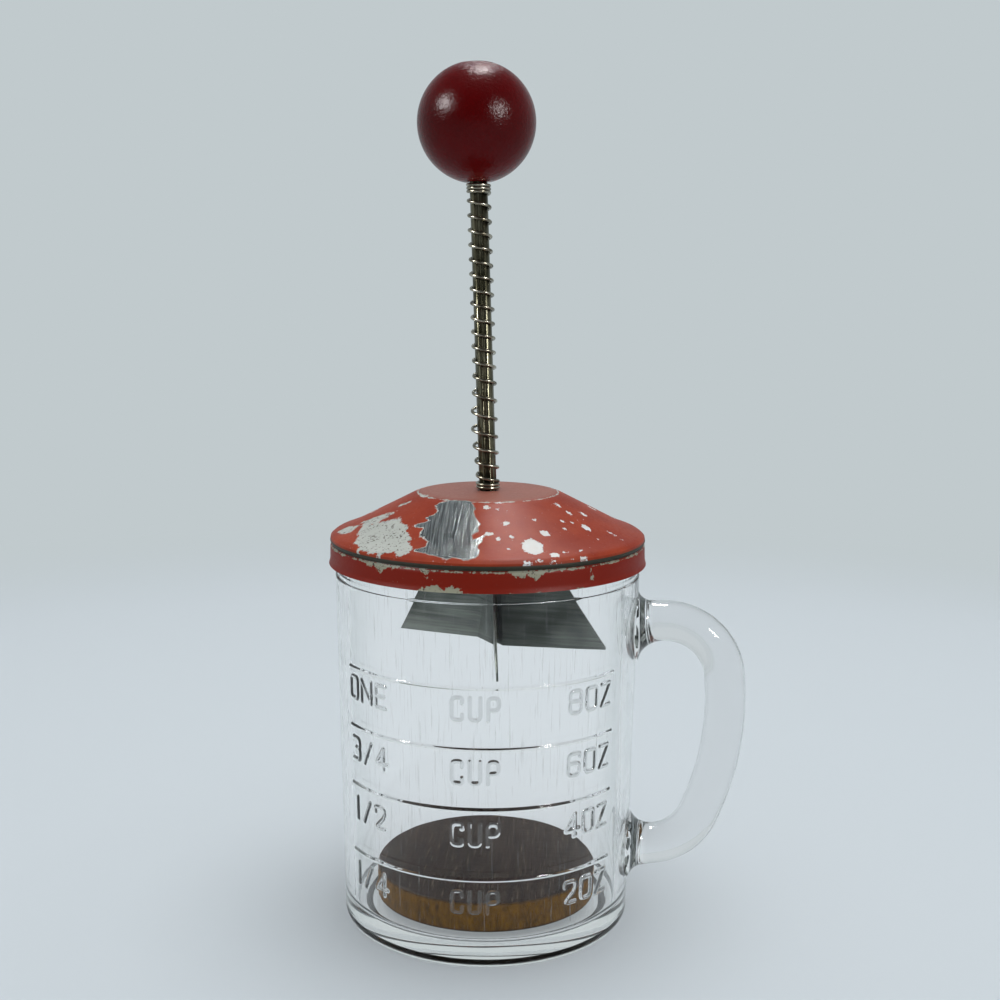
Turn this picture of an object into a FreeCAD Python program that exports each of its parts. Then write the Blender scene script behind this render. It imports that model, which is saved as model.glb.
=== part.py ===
import FreeCAD, Part
import math
import os
import Sketcher

# Plunger food chopper: a pressed glass measuring mug with a loose wooden chopping disc,
# a slip-on stamped cap, and a sprung plunger with a ball knob and two bent blade sheets.
# Frame: millimetres, +Z up, the mug's axis is Z, its foot stands on Z = 0 and its handle
# points along +X. The measure marks are centred on -Y.
# Pieces of the plunger are drawn upright about their own Z axis, with 0 at the top of
# the cap's crown, and are then leaned together about that point.

Vector = FreeCAD.Vector
DOCUMENT = FreeCAD.newDocument("food_chopper")
SHEET = DOCUMENT.addObject("Spreadsheet::Sheet", "Sizes")

# ---------------------------------------------------------------- driving dimensions
DIMENSIONS = (
    # mug
    ("mug_height", 102.0, "foot to rim"),
    ("mug_foot_radius", 37.5, "outside radius of the wall, carried down to the table"),
    ("mug_ledge_radius", 39.3, "outside radius just under the moulding ledge"),
    ("mug_ledge_height", 91.7, "height of the ledge below the cap"),
    ("mug_ledge_step", 0.5, "how far the neck steps in at the ledge"),
    ("mug_wall", 3.3, "glass thickness of the wall"),
    ("mug_rim_wall", 2.8, "glass thickness at the rim"),
    ("mug_floor", 6.0, "glass thickness of the floor"),
    ("foot_corner", 2.5, "rounding between wall and foot"),
    ("floor_corner", 2.0, "rounding between wall and floor inside"),
    ("rim_rounding", 1.3, "fire-polished rounding of the rim"),
    # measure marks
    ("mark_low", 23.4, "height of the lowest measure line"),
    ("mark_second", 41.1, "height of the second measure line"),
    ("mark_third", 56.3, "height of the third measure line"),
    ("mark_top", 71.4, "height of the top measure line"),
    ("mark_width", 0.9, "width of a raised line"),
    ("mark_relief", 0.4, "how far a raised line stands proud"),
    ("mark_sweep", 111.0, "angle round the mug that the lines cover"),
    # handle
    ("handle_thickness", 10.5, "diameter of the handle's glass"),
    ("handle_top", 79.5, "centreline height where the upper arm leaves the wall"),
    ("handle_shoulder_reach", 60.6, "distance of the upper corner from the mug's axis"),
    ("handle_shoulder_drop", 0.4, "fall of the upper arm to that corner"),
    ("handle_grip_reach", 63.8, "distance of the grip's middle corner"),
    ("handle_grip_height", 46.2, "height of the grip's middle corner"),
    ("handle_heel_reach", 53.2, "distance of the lower corner"),
    ("handle_heel_rise", 3.0, "height of the lower corner above the lower arm's root"),
    ("handle_bottom", 17.3, "centreline height where the lower arm meets the wall"),
    ("handle_shoulder_bend", 15.5, "centreline radius at the upper corner"),
    ("handle_grip_bend", 75.0, "centreline radius along the grip"),
    ("handle_heel_bend", 14.4, "centreline radius at the lower corner"),
    ("handle_flare", 3.0, "how much the handle's ends swell into the wall"),
    ("handle_flare_length", 5.7, "length of that swelling outside the wall"),
    ("handle_flare_dip", 0.4, "how far the swelling's thin end sinks into the handle"),
    # chopping disc
    ("disc_radius", 28.9, "radius of the wooden disc"),
    ("disc_thickness", 8.0, "thickness of the wooden disc"),
    ("disc_edge", 0.6, "broken edge of the disc"),
    ("disc_gap", 0.2, "clearance between disc and glass floor"),
    # cap
    ("cap_sheet", 0.5, "thickness of the tinned steel"),
    ("cap_slip", 1.3, "radial room between the neck of the mug and the skirt"),
    ("cap_seat_gap", 0.2, "clearance between rim and cap"),
    ("cap_crown_radius", 17.6, "radius of the flat crown"),
    ("cap_crown_rise", 10.7, "crown above the seat"),
    ("cap_knee_inset", 5.6, "how far inside the skirt the cone flattens"),
    ("cap_knee_rise", 1.8, "height of that knee above the seat"),
    ("cap_shoulder_inset", 1.2, "start of the rounded shoulder inside the skirt"),
    ("cap_shoulder_rise", 0.1, "height of the shoulder above the seat"),
    ("cap_bulge_inset", 0.3, "middle of the rounded shoulder inside the skirt"),
    ("cap_bulge_drop", 0.53, "middle of the rounded shoulder below the seat"),
    ("cap_bead_drop", 1.8, "lower edge of the shoulder below the seat"),
    ("cap_groove_depth", 0.5, "depth of the crimped groove under the shoulder"),
    ("cap_groove_drop", 2.5, "middle of the groove below the seat"),
    ("cap_skirt_drop", 7.6, "bottom of the skirt below the seat"),
    ("cap_hem", 0.3, "outward curl of the skirt's bottom edge"),
    ("cap_hem_height", 1.0, "height of that curl"),
    ("cap_inside_mitre", 0.15, "shift of an inside corner of the stamping along the sheet"),
    # plunger
    ("plunger_lean", 2.07, "degrees that the plunger leans away from the handle"),
    ("rod_radius", 2.25, "radius of the plunger rod"),
    ("rod_play", 0.08, "radial running clearance of the rod"),
    ("rod_top", 93.0, "top end of the rod above the crown"),
    ("tang_thickness", 1.0, "web left between the two flats of the rod's end"),
    ("tang_gap", 0.4, "flats beyond the upper edge of the blade sheets"),
    ("tang_inset", 1.2, "end of the rod above the blades' lower edge"),
    ("knob_radius", 14.8, "radius of the ball"),
    ("knob_grip", 15.4, "length of rod driven into the ball"),
    ("knob_top_flat", 75.0, "latitude in degrees at which the ball is cut off on top"),
    ("knob_seat_flat", 76.0, "latitude in degrees of the flat under the ball"),
    # return spring
    ("wire_radius", 0.4, "radius of the spring wire"),
    ("spring_play", 0.12, "radial room between rod and coil"),
    ("spring_end_gap", 0.2, "clearance at each end of the spring"),
    ("spring_turns", 19.0, "open turns"),
    ("spring_foot_turns", 2.0, "closed turns on the cap"),
    ("spring_head_turns", 2.5, "closed turns under the knob"),
    ("spring_closed_gap", 0.02, "gap between two closed turns"),
    # stop under the cap
    ("stop_radius", 6.0, "radius of the stop washer"),
    ("stop_thickness", 0.8, "thickness of the stop washer"),
    ("stop_gap", 0.35, "clearance between cap and stop washer"),
    ("pin_radius", 0.8, "radius of the cross pin"),
    ("pin_length", 9.0, "length of the cross pin"),
    # blades
    ("blade_sheet", 0.5, "thickness of a blade sheet"),
    ("blade_radius", 29.9, "reach of the blades' lower corners"),
    ("blade_depth", 39.9, "lower edge of the blades below the crown, at the rod"),
    ("blade_height", 24.0, "height of a blade sheet at the rod"),
    ("blade_end_slope", 31.0, "degrees by which a blade's outer end leans inwards"),
    ("blade_edge_tilt", 4.16, "degrees by which the lower edges tilt across the plunger"),
    ("facet_direction", 35.3, "direction of the welded facets, degrees from -Y to +X"),
    ("front_sheet_bend", 2.05, "front bend of the first sheet along the facet"),
    ("front_sheet_back_bend", 6.1, "back bend of the first sheet along the facet"),
    ("rear_sheet_bend", 4.0, "front bend of the second sheet along the facet"),
    ("rear_sheet_back_bend", 4.1, "back bend of the second sheet along the facet"),
    ("front_blade", 5.8, "direction of the front blade, degrees from -Y to +X"),
    ("left_blade", -115.8, "direction of the left blade"),
    ("right_blade", 75.8, "direction of the right blade"),
    ("far_blade", 185.8, "direction of the far blade"),
)

for number, (alias, value, meaning) in enumerate(DIMENSIONS, start=1):
    SHEET.set("A%d" % number, alias)
    SHEET.set("B%d" % number, repr(value))
    SHEET.set("C%d" % number, meaning)
    SHEET.setAlias("B%d" % number, alias)
DOCUMENT.recompute()


class Size:
    """A length or angle: its present value, and the sheet expression that gives it."""

    def __init__(self, value, text):
        self.value = value
        self.text = text

    def join(self, sign, other, value):
        return Size(value, "(%s %s %s)" % (self.text, sign, as_size(other).text))

    def __add__(self, other):
        return self.join("+", other, self.value + as_size(other).value)

    def __sub__(self, other):
        return self.join("-", other, self.value - as_size(other).value)

    def __mul__(self, other):
        return self.join("*", other, self.value * as_size(other).value)

    def __truediv__(self, other):
        return self.join("/", other, self.value / as_size(other).value)

    def __neg__(self):
        return Size(-self.value, "(0 - %s)" % self.text)


def as_size(number):
    """Turn a plain number into a Size, and leave a Size as it is."""
    if isinstance(number, Size):
        return number
    return Size(float(number), repr(float(number)))


def cell(alias):
    """The Size held in one cell of the sheet."""
    return Size(float(SHEET.get(alias)), "Sizes." + alias)


def sine(angle):
    return Size(math.sin(math.radians(angle.value)), "sin(%s)" % angle.text)


def cosine(angle):
    return Size(math.cos(math.radians(angle.value)), "cos(%s)" % angle.text)


def tangent(angle):
    return Size(math.tan(math.radians(angle.value)), "tan(%s)" % angle.text)


def bind(thing, place, size):
    """Tie one property of an object to the sheet."""
    thing.setExpression(place, as_size(size).text)


# ---------------------------------------------------------------- drawing helpers
def new_body(name):
    body = DOCUMENT.addObject("PartDesign::Body", name)
    body.Label = name
    return body


def new_sketch(body, name, role, offset=None):
    """A sketch on one of the body's origin planes, moved off it by offset."""
    sketch = body.newObject("Sketcher::SketchObject", name)
    plane = [item for item in body.Origin.OriginFeatures if item.Role == role][0]
    sketch.AttachmentSupport = (plane, [""])
    sketch.MapMode = "FlatFace"
    if offset is not None:
        bind(sketch, "AttachmentOffset.Base.z", offset)
    return sketch


def pin_point(sketch, geometry, corner, point):
    """Fix one point of a sketch at sheet-driven coordinates from its origin."""
    for kind, size in (("DistanceX", point[0]), ("DistanceY", point[1])):
        size = as_size(size)
        rule = Sketcher.Constraint(kind, -1, 1, geometry, corner, size.value)
        index = sketch.addConstraint(rule)
        sketch.setExpression("Constraints[%d]" % index, size.text)


def draw_outline(sketch, points):
    """A closed outline of straight lines through sheet-driven points."""
    first = sketch.GeometryCount
    count = len(points)
    places = [Vector(as_size(x).value, as_size(y).value, 0) for x, y in points]
    for index in range(count):
        after = places[(index + 1) % count]
        sketch.addGeometry(Part.LineSegment(places[index], after))
    for index in range(count):
        following = first + (index + 1) % count
        sketch.addConstraint(Sketcher.Constraint("Coincident", first + index, 2, following, 1))
    for index in range(count):
        pin_point(sketch, first + index, 1, points[index])


def draw_circle(sketch, radius, centre=(0.0, 0.0)):
    """A sheet-driven circle."""
    middle = Vector(as_size(centre[0]).value, as_size(centre[1]).value, 0)
    circle = Part.Circle(middle, Vector(0, 0, 1), as_size(radius).value)
    number = sketch.addGeometry(circle)
    rule = sketch.addConstraint(Sketcher.Constraint("Radius", number, as_size(radius).value))
    bind(sketch, "Constraints[%d]" % rule, radius)
    pin_point(sketch, number, 3, centre)


def draw_rounded_path(sketch, corners, bends):
    """An open path: straight runs between corners, each corner rounded by a tangent arc."""
    places = [Vector(as_size(x).value, as_size(y).value, 0) for x, y in corners]
    starts = [places[0]]
    arcs = []
    for before, corner, after, bend in zip(places, places[1:], places[2:], bends):
        back = (before - corner).normalize()
        ahead = (after - corner).normalize()
        half = back.getAngle(ahead) / 2
        centre = corner + (back + ahead).normalize() * (bend.value / math.sin(half))
        entry = corner + back * (bend.value / math.tan(half))
        leave = corner + ahead * (bend.value / math.tan(half))
        turns_left = (corner - before).cross(after - corner).z > 0
        ends = (entry, leave) if turns_left else (leave, entry)
        angles = [math.atan2(end.y - centre.y, end.x - centre.x) for end in ends]
        if angles[1] < angles[0]:
            angles[1] += 2 * math.pi
        circle = Part.Circle(centre, Vector(0, 0, 1), bend.value)
        arcs.append((Part.ArcOfCircle(circle, angles[0], angles[1]), turns_left))
        starts.extend((entry, leave))
    starts.append(places[-1])
    runs = []
    for index in range(0, len(starts), 2):
        runs.append(sketch.addGeometry(Part.LineSegment(starts[index], starts[index + 1])))
    for index, (arc, turns_left) in enumerate(arcs):
        number = sketch.addGeometry(arc)
        near, far = (1, 2) if turns_left else (2, 1)
        sketch.addConstraint(Sketcher.Constraint("Tangent", runs[index], 2, number, near))
        sketch.addConstraint(Sketcher.Constraint("Tangent", number, far, runs[index + 1], 1))
        rule = sketch.addConstraint(Sketcher.Constraint("Radius", number, bends[index].value))
        bind(sketch, "Constraints[%d]" % rule, bends[index])
        mark = sketch.addGeometry(Part.Point(places[index + 1]), True)
        sketch.addConstraint(Sketcher.Constraint("PointOnObject", mark, 1, runs[index]))
        sketch.addConstraint(Sketcher.Constraint("PointOnObject", mark, 1, runs[index + 1]))
        pin_point(sketch, mark, 1, corners[index + 1])
    pin_point(sketch, runs[0], 1, corners[0])
    pin_point(sketch, runs[-1], 2, corners[-1])


def add_pad(body, name, sketch, length, backwards=False):
    pad = body.newObject("PartDesign::Pad", name)
    pad.Profile = sketch
    pad.Reversed = backwards
    bind(pad, "Length", length)
    return pad


def add_turned(body, name, sketch, kind="PartDesign::Revolution", sweep=360.0, both_ways=False):
    """Turn a sketch about its vertical axis, to add or to cut."""
    turned = body.newObject(kind, name)
    turned.Profile = sketch
    turned.ReferenceAxis = (sketch, ["V_Axis"])
    turned.Midplane = both_ways
    bind(turned, "Angle", sweep)
    return turned


def ring_edges(shape, radius, height):
    """Names of the full circles about Z that have this radius at this height."""
    names = []
    for number, edge in enumerate(shape.Edges, start=1):
        if not isinstance(edge.Curve, Part.Circle):
            continue
        centre = edge.Curve.Center
        level = abs(centre.z - height) < 0.01 and math.hypot(centre.x, centre.y) < 0.01
        if level and abs(edge.Curve.Radius - radius) < 0.01:
            names.append("Edge%d" % number)
    return names


def round_rings(body, name, rings, radius):
    """Fillet the circular edges given as (radius, height) pairs."""
    DOCUMENT.recompute()
    before = body.Tip
    names = []
    for ring_radius, height in rings:
        found = ring_edges(before.Shape, ring_radius.value, height.value)
        if not found:
            raise RuntimeError("no edge for %s" % name)
        names.extend(found)
    fillet = body.newObject("PartDesign::Fillet", name)
    fillet.Base = (before, names)
    bind(fillet, "Radius", radius)
    return fillet


# ---------------------------------------------------------------- glass mug
MUG_HEIGHT = cell("mug_height")
FOOT_RADIUS = cell("mug_foot_radius")
LEDGE_RADIUS = cell("mug_ledge_radius")
LEDGE_HEIGHT = cell("mug_ledge_height")
NECK_RADIUS = LEDGE_RADIUS - cell("mug_ledge_step")
FLOOR_TOP = cell("mug_floor")
WALL_TAPER = (LEDGE_RADIUS - FOOT_RADIUS) / LEDGE_HEIGHT


def wall_radius(height):
    """Outside radius of the mug's tapered wall at a height."""
    return FOOT_RADIUS + WALL_TAPER * height


def make_mug():
    """Cup of revolution, raised measure lines, and a loop handle swelling into the wall."""
    body = new_body("glass_mug")
    inner_foot = wall_radius(FLOOR_TOP) - cell("mug_wall")
    inner_rim = NECK_RADIUS - cell("mug_rim_wall")
    section = new_sketch(body, "mug_section", "XZ_Plane")
    draw_outline(section, [
        (0.0, 0.0),
        (FOOT_RADIUS, 0.0),
        (LEDGE_RADIUS, LEDGE_HEIGHT),
        (NECK_RADIUS, LEDGE_HEIGHT),
        (NECK_RADIUS, MUG_HEIGHT),
        (inner_rim, MUG_HEIGHT),
        (inner_foot, FLOOR_TOP),
        (0.0, FLOOR_TOP),
    ])
    add_turned(body, "mug_wall_turned", section)
    round_rings(body, "foot_rounding", [(FOOT_RADIUS, as_size(0.0))], cell("foot_corner"))
    round_rings(body, "floor_rounding", [(inner_foot, FLOOR_TOP)], cell("floor_corner"))
    rims = [(NECK_RADIUS, MUG_HEIGHT), (inner_rim, MUG_HEIGHT)]
    round_rings(body, "rim_rounding_fillet", rims, cell("rim_rounding"))

    lines = new_sketch(body, "measure_lines", "YZ_Plane")
    half_line = cell("mark_width") / 2
    for alias in ("mark_low", "mark_second", "mark_third", "mark_top"):
        height = cell(alias)
        proud = -(wall_radius(height) + cell("mark_relief"))
        buried = -(wall_radius(height) - cell("mug_wall") / 2)
        draw_outline(lines, [
            (buried, height - half_line),
            (proud, height - half_line),
            (proud, height + half_line),
            (buried, height + half_line),
        ])
    add_turned(body, "measure_lines_raised", lines, sweep=cell("mark_sweep"), both_ways=True)

    top = cell("handle_top")
    bottom = cell("handle_bottom")
    root_top = wall_radius(top) - cell("mug_wall") / 2
    root_bottom = wall_radius(bottom) - cell("mug_wall") / 2
    path = new_sketch(body, "handle_path", "XZ_Plane")
    draw_rounded_path(path, [
        (root_top, top),
        (cell("handle_shoulder_reach"), top - cell("handle_shoulder_drop")),
        (cell("handle_grip_reach"), cell("handle_grip_height")),
        (cell("handle_heel_reach"), bottom + cell("handle_heel_rise")),
        (root_bottom, bottom),
    ], [cell("handle_shoulder_bend"), cell("handle_grip_bend"), cell("handle_heel_bend")])
    round_glass = new_sketch(body, "handle_section", "YZ_Plane", root_top)
    draw_circle(round_glass, cell("handle_thickness") / 2, (0.0, top))
    DOCUMENT.recompute()
    handle = body.newObject("PartDesign::AdditivePipe", "handle_loop")
    handle.Profile = round_glass
    handle.Spine = (path, ["Edge%d" % (number + 1) for number in range(len(path.Shape.Edges))])

    for name, height, root in (("upper_flare", top, root_top), ("lower_flare", bottom, root_bottom)):
        flare = body.newObject("PartDesign::AdditiveCone", name)
        flare.MapMode = "Deactivated"
        flare.Placement = FreeCAD.Placement(Vector(0, 0, 0), FreeCAD.Rotation(Vector(0, 1, 0), 90))
        bind(flare, "Radius1", cell("handle_thickness") / 2 + cell("handle_flare"))
        bind(flare, "Radius2", cell("handle_thickness") / 2 - cell("handle_flare_dip"))
        bind(flare, "Height", cell("handle_flare_length") + cell("mug_wall") / 2)
        bind(flare, "Placement.Base.x", root)
        bind(flare, "Placement.Base.z", height)
    return body


# ---------------------------------------------------------------- chopping disc
def make_disc():
    """A turned wooden disc that lies loose on the glass floor."""
    body = new_body("chopping_disc")
    underside = FLOOR_TOP + cell("disc_gap")
    outline = new_sketch(body, "disc_outline", "XY_Plane", underside)
    draw_circle(outline, cell("disc_radius"))
    add_pad(body, "disc_blank", outline, cell("disc_thickness"))
    radius = cell("disc_radius")
    rings = [(radius, underside), (radius, underside + cell("disc_thickness"))]
    round_rings(body, "disc_edges", rings, cell("disc_edge"))
    return body


# ---------------------------------------------------------------- cap
CAP_SEAT = MUG_HEIGHT + cell("cap_seat_gap")
CROWN_HEIGHT = CAP_SEAT + cell("cap_crown_rise")
SKIRT_RADIUS = NECK_RADIUS + cell("cap_slip") + cell("cap_sheet")
ROD_HOLE_RADIUS = cell("rod_radius") + cell("rod_play")


def make_cap():
    """One stamping: flat crown, shallow cone, rounded shoulder, crimped groove and skirt."""
    body = new_body("cap_shell")
    sheet = cell("cap_sheet")
    knee = SKIRT_RADIUS - cell("cap_knee_inset")
    shoulder = SKIRT_RADIUS - cell("cap_shoulder_inset")
    shoulder_top = CAP_SEAT + cell("cap_shoulder_rise")
    bead = CAP_SEAT - cell("cap_bead_drop")
    groove = CAP_SEAT - cell("cap_groove_drop")
    groove_bottom = groove - (bead - groove)
    hem_height = CAP_SEAT - cell("cap_skirt_drop")
    mitre = cell("cap_inside_mitre")
    outer = [
        (ROD_HOLE_RADIUS, CROWN_HEIGHT),
        (cell("cap_crown_radius"), CROWN_HEIGHT),
        (knee, CAP_SEAT + cell("cap_knee_rise")),
        (shoulder, shoulder_top),
        (SKIRT_RADIUS - cell("cap_bulge_inset"), CAP_SEAT - cell("cap_bulge_drop")),
        (SKIRT_RADIUS, bead),
        (SKIRT_RADIUS - cell("cap_groove_depth"), groove),
        (SKIRT_RADIUS, groove_bottom),
        (SKIRT_RADIUS, hem_height + cell("cap_hem_height")),
        (SKIRT_RADIUS + cell("cap_hem"), hem_height),
    ]
    inner = [
        (SKIRT_RADIUS - sheet, hem_height),
        (SKIRT_RADIUS - sheet, groove_bottom - mitre),
        (SKIRT_RADIUS - cell("cap_groove_depth") - sheet, groove),
        (SKIRT_RADIUS - sheet, bead + mitre),
        (SKIRT_RADIUS - cell("cap_bulge_inset") - sheet, CAP_SEAT - cell("cap_bulge_drop") - mitre),
        (shoulder - mitre, shoulder_top - sheet),
        (knee - mitre, CAP_SEAT + cell("cap_knee_rise") - sheet),
        (cell("cap_crown_radius") - mitre, CROWN_HEIGHT - sheet),
        (ROD_HOLE_RADIUS, CROWN_HEIGHT - sheet),
    ]
    section = new_sketch(body, "cap_section", "XZ_Plane")
    draw_outline(section, outer + inner)
    add_turned(body, "cap_stamping", section)
    return body


# ---------------------------------------------------------------- plunger
def lean_plunger(piece):
    """Stand a piece of the plunger on the crown and lean it away from the handle."""
    piece.Placement = FreeCAD.Placement(Vector(0, 0, 0), FreeCAD.Rotation(Vector(0, -1, 0), 1))
    bind(piece, "Placement.Base.z", CROWN_HEIGHT)
    bind(piece, "Placement.Rotation.Angle", cell("plunger_lean"))
    return piece


KNOB_FOOT = cell("rod_top") - cell("knob_grip")
TANG_TOP = -(cell("blade_depth") - cell("blade_height") - cell("tang_gap"))
STOP_TOP = -(cell("cap_sheet") + cell("stop_gap"))
PIN_HEIGHT = STOP_TOP - cell("stop_thickness") - cell("pin_radius")


def make_rod():
    """Round steel rod with a cross hole for the stop pin and a flat tang for the blades."""
    body = new_body("plunger_rod")
    foot = -(cell("blade_depth") - cell("tang_inset"))
    outline = new_sketch(body, "rod_outline", "XY_Plane", foot)
    draw_circle(outline, cell("rod_radius"))
    add_pad(body, "rod_bar", outline, cell("rod_top") - foot)

    flats = new_sketch(body, "tang_flats", "XY_Plane", TANG_TOP)
    turn_sketch(flats, cell("facet_direction"))
    half = cell("tang_thickness") / 2
    reach = cell("rod_radius") * 1.5
    for side in (1.0, -1.0):
        draw_outline(flats, [
            (half * side, -reach),
            (reach * side, -reach),
            (reach * side, reach),
            (half * side, reach),
        ])
    cut = body.newObject("PartDesign::Pocket", "tang")
    cut.Profile = flats
    bind(cut, "Length", (TANG_TOP - foot) * 2)

    hole = new_sketch(body, "pin_hole_outline", "XZ_Plane")
    draw_circle(hole, cell("pin_radius"), (0.0, PIN_HEIGHT))
    drill = body.newObject("PartDesign::Pocket", "pin_hole")
    drill.Profile = hole
    drill.Midplane = True
    bind(drill, "Length", cell("rod_radius") * 4)
    return lean_plunger(body)


def turn_sketch(sketch, direction):
    """Turn a horizontal sketch so that its -Y looks in a blade direction."""
    sketch.AttachmentOffset = FreeCAD.Placement(
        sketch.AttachmentOffset.Base, FreeCAD.Rotation(Vector(0, 0, 1), 1))
    bind(sketch, "AttachmentOffset.Rotation.Angle", direction)


def make_knob():
    """A turned hardwood ball, flat where it is worn on top and where the spring bears."""
    ball = DOCUMENT.addObject("Part::Sphere", "knob_ball")
    bind(ball, "Radius", cell("knob_radius"))
    bind(ball, "Angle1", -cell("knob_seat_flat"))
    bind(ball, "Angle2", cell("knob_top_flat"))
    centre = KNOB_FOOT + cell("knob_radius") * sine(cell("knob_seat_flat"))
    bind(ball, "Placement.Base.z", centre)
    bore = DOCUMENT.addObject("Part::Cylinder", "knob_bore")
    bind(bore, "Radius", cell("rod_radius"))
    bind(bore, "Height", cell("knob_grip") + cell("rod_radius"))
    bind(bore, "Placement.Base.z", KNOB_FOOT - cell("rod_radius"))
    knob = DOCUMENT.addObject("Part::Cut", "ball_knob")
    knob.Base = ball
    knob.Tool = bore
    knob.Label = "ball_knob"
    return lean_plunger(knob)


def make_stop_washer():
    """The washer that the spring pulls up against the underside of the crown."""
    body = new_body("stop_washer")
    outline = new_sketch(body, "washer_outline", "XY_Plane", STOP_TOP)
    draw_circle(outline, cell("stop_radius"))
    draw_circle(outline, ROD_HOLE_RADIUS)
    add_pad(body, "washer_blank", outline, cell("stop_thickness"), backwards=True)
    return lean_plunger(body)


def make_stop_pin():
    """The cross pin that carries the stop washer."""
    body = new_body("stop_pin")
    outline = new_sketch(body, "pin_outline", "XZ_Plane")
    draw_circle(outline, cell("pin_radius"), (0.0, PIN_HEIGHT))
    pad = add_pad(body, "pin_wire", outline, cell("pin_length"))
    pad.Midplane = True
    return lean_plunger(body)


# ---------------------------------------------------------------- return spring
def coil(radius, wire, foot, pitch, turns, start_angle):
    """Wire wound left-handed about Z, its round section kept in the radial plane."""
    centreline = Part.makeHelix(pitch, pitch * turns, radius, 0.0, True)
    section = Part.makeCircle(wire, Vector(radius, 0, 0), Vector(0, 1, 0))
    pipe = Part.BRepOffsetAPI.MakePipeShell(centreline)
    pipe.setBiNormalMode(Vector(0, 0, 1))
    pipe.add(Part.Wire([section]))
    pipe.build()
    pipe.makeSolid()
    solid = pipe.shape()
    solid.rotate(Vector(0, 0, 0), Vector(0, 0, 1), start_angle)
    solid.translate(Vector(0, 0, foot))
    return solid


def make_spring():
    """Left-hand compression spring with closed turns at both ends."""
    wire = cell("wire_radius").value
    radius = (cell("rod_radius") + cell("spring_play") + cell("wire_radius")).value
    end_gap = cell("spring_end_gap").value
    foot_turns = cell("spring_foot_turns").value
    open_turns = cell("spring_turns").value
    head_turns = cell("spring_head_turns").value
    closed_pitch = wire * 2 + cell("spring_closed_gap").value
    foot = end_gap + wire
    head = KNOB_FOOT.value - end_gap - wire
    open_foot = foot + closed_pitch * foot_turns
    open_head = head - closed_pitch * head_turns
    open_pitch = (open_head - open_foot) / open_turns
    open_start = -360.0 * foot_turns
    head_start = open_start - 360.0 * open_turns
    pieces = [
        coil(radius, wire, foot, closed_pitch, foot_turns, 0.0),
        coil(radius, wire, open_foot, open_pitch, open_turns, open_start),
        coil(radius, wire, open_head, closed_pitch, head_turns, head_start),
    ]
    spring = DOCUMENT.addObject("Part::Feature", "return_spring")
    spring.Label = "return_spring"
    spring.Shape = pieces[0].multiFuse(pieces[1:]).removeSplitter()
    return lean_plunger(spring)


# ---------------------------------------------------------------- blades
def along(direction, distance):
    """A point at a distance in a direction measured from -Y towards +X."""
    return (sine(direction) * distance, -(cosine(direction) * distance))


def add_points(first, second):
    return (first[0] + second[0], first[1] + second[1])


def add_blade_sheet(name, side, front_bend, back_bend, front_tip, back_tip):
    """One sheet of steel: a facet welded to the tang, with a blade bent off each end.

    side is 1 or -1: which side of the tang the sheet lies on. The sheet is drawn in
    plan, padded upwards, and trimmed at its outer ends and along its lower edge."""
    body = new_body(name)
    facet = cell("facet_direction")
    sideways = facet + 90.0
    inside = cell("tang_thickness") / 2 * side
    reach = cell("blade_radius") + cell("blade_sheet") * 2
    half_sheet = cell("blade_sheet") / 2
    middle = inside + half_sheet * side
    front_corner = add_points(along(facet, front_bend), along(sideways, middle))
    back_corner = add_points(along(facet, -back_bend), along(sideways, middle))
    front_end = along(front_tip, reach)
    back_end = along(back_tip, reach)
    low = -(cell("blade_depth") + reach * tangent(cell("blade_edge_tilt")))
    top = -(cell("blade_depth") - cell("blade_height"))

    plan = new_sketch(body, name + "_plan", "XY_Plane", low)
    draw_strip(plan, [back_end, back_corner, front_corner, front_end], half_sheet)
    add_pad(body, name + "_strip", plan, top - low)

    trim = new_sketch(body, name + "_ends", "XZ_Plane")
    inward = cell("blade_height") * tangent(cell("blade_end_slope"))
    wide = reach * 2
    draw_outline(trim, [
        (cell("blade_radius"), low - half_sheet),
        (cell("blade_radius"), -cell("blade_depth")),
        (cell("blade_radius") - inward, top),
        (cell("blade_radius") - inward, top + half_sheet),
        (wide, top + half_sheet),
        (wide, low - half_sheet),
    ])
    add_turned(body, name + "_ends_trimmed", trim, "PartDesign::Groove")

    edge = new_sketch(body, name + "_edge", "YZ_Plane")
    rise = wide * tangent(cell("blade_edge_tilt"))
    depth = -cell("blade_depth")
    draw_outline(edge, [
        (-wide, depth - rise),
        (wide, depth + rise),
        (wide, low - rise * 2),
        (-wide, low - rise * 2),
    ])
    cut = body.newObject("PartDesign::Pocket", name + "_edge_trimmed")
    cut.Profile = edge
    cut.Midplane = True
    bind(cut, "Length", wide * 2)
    return lean_plunger(body)


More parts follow.
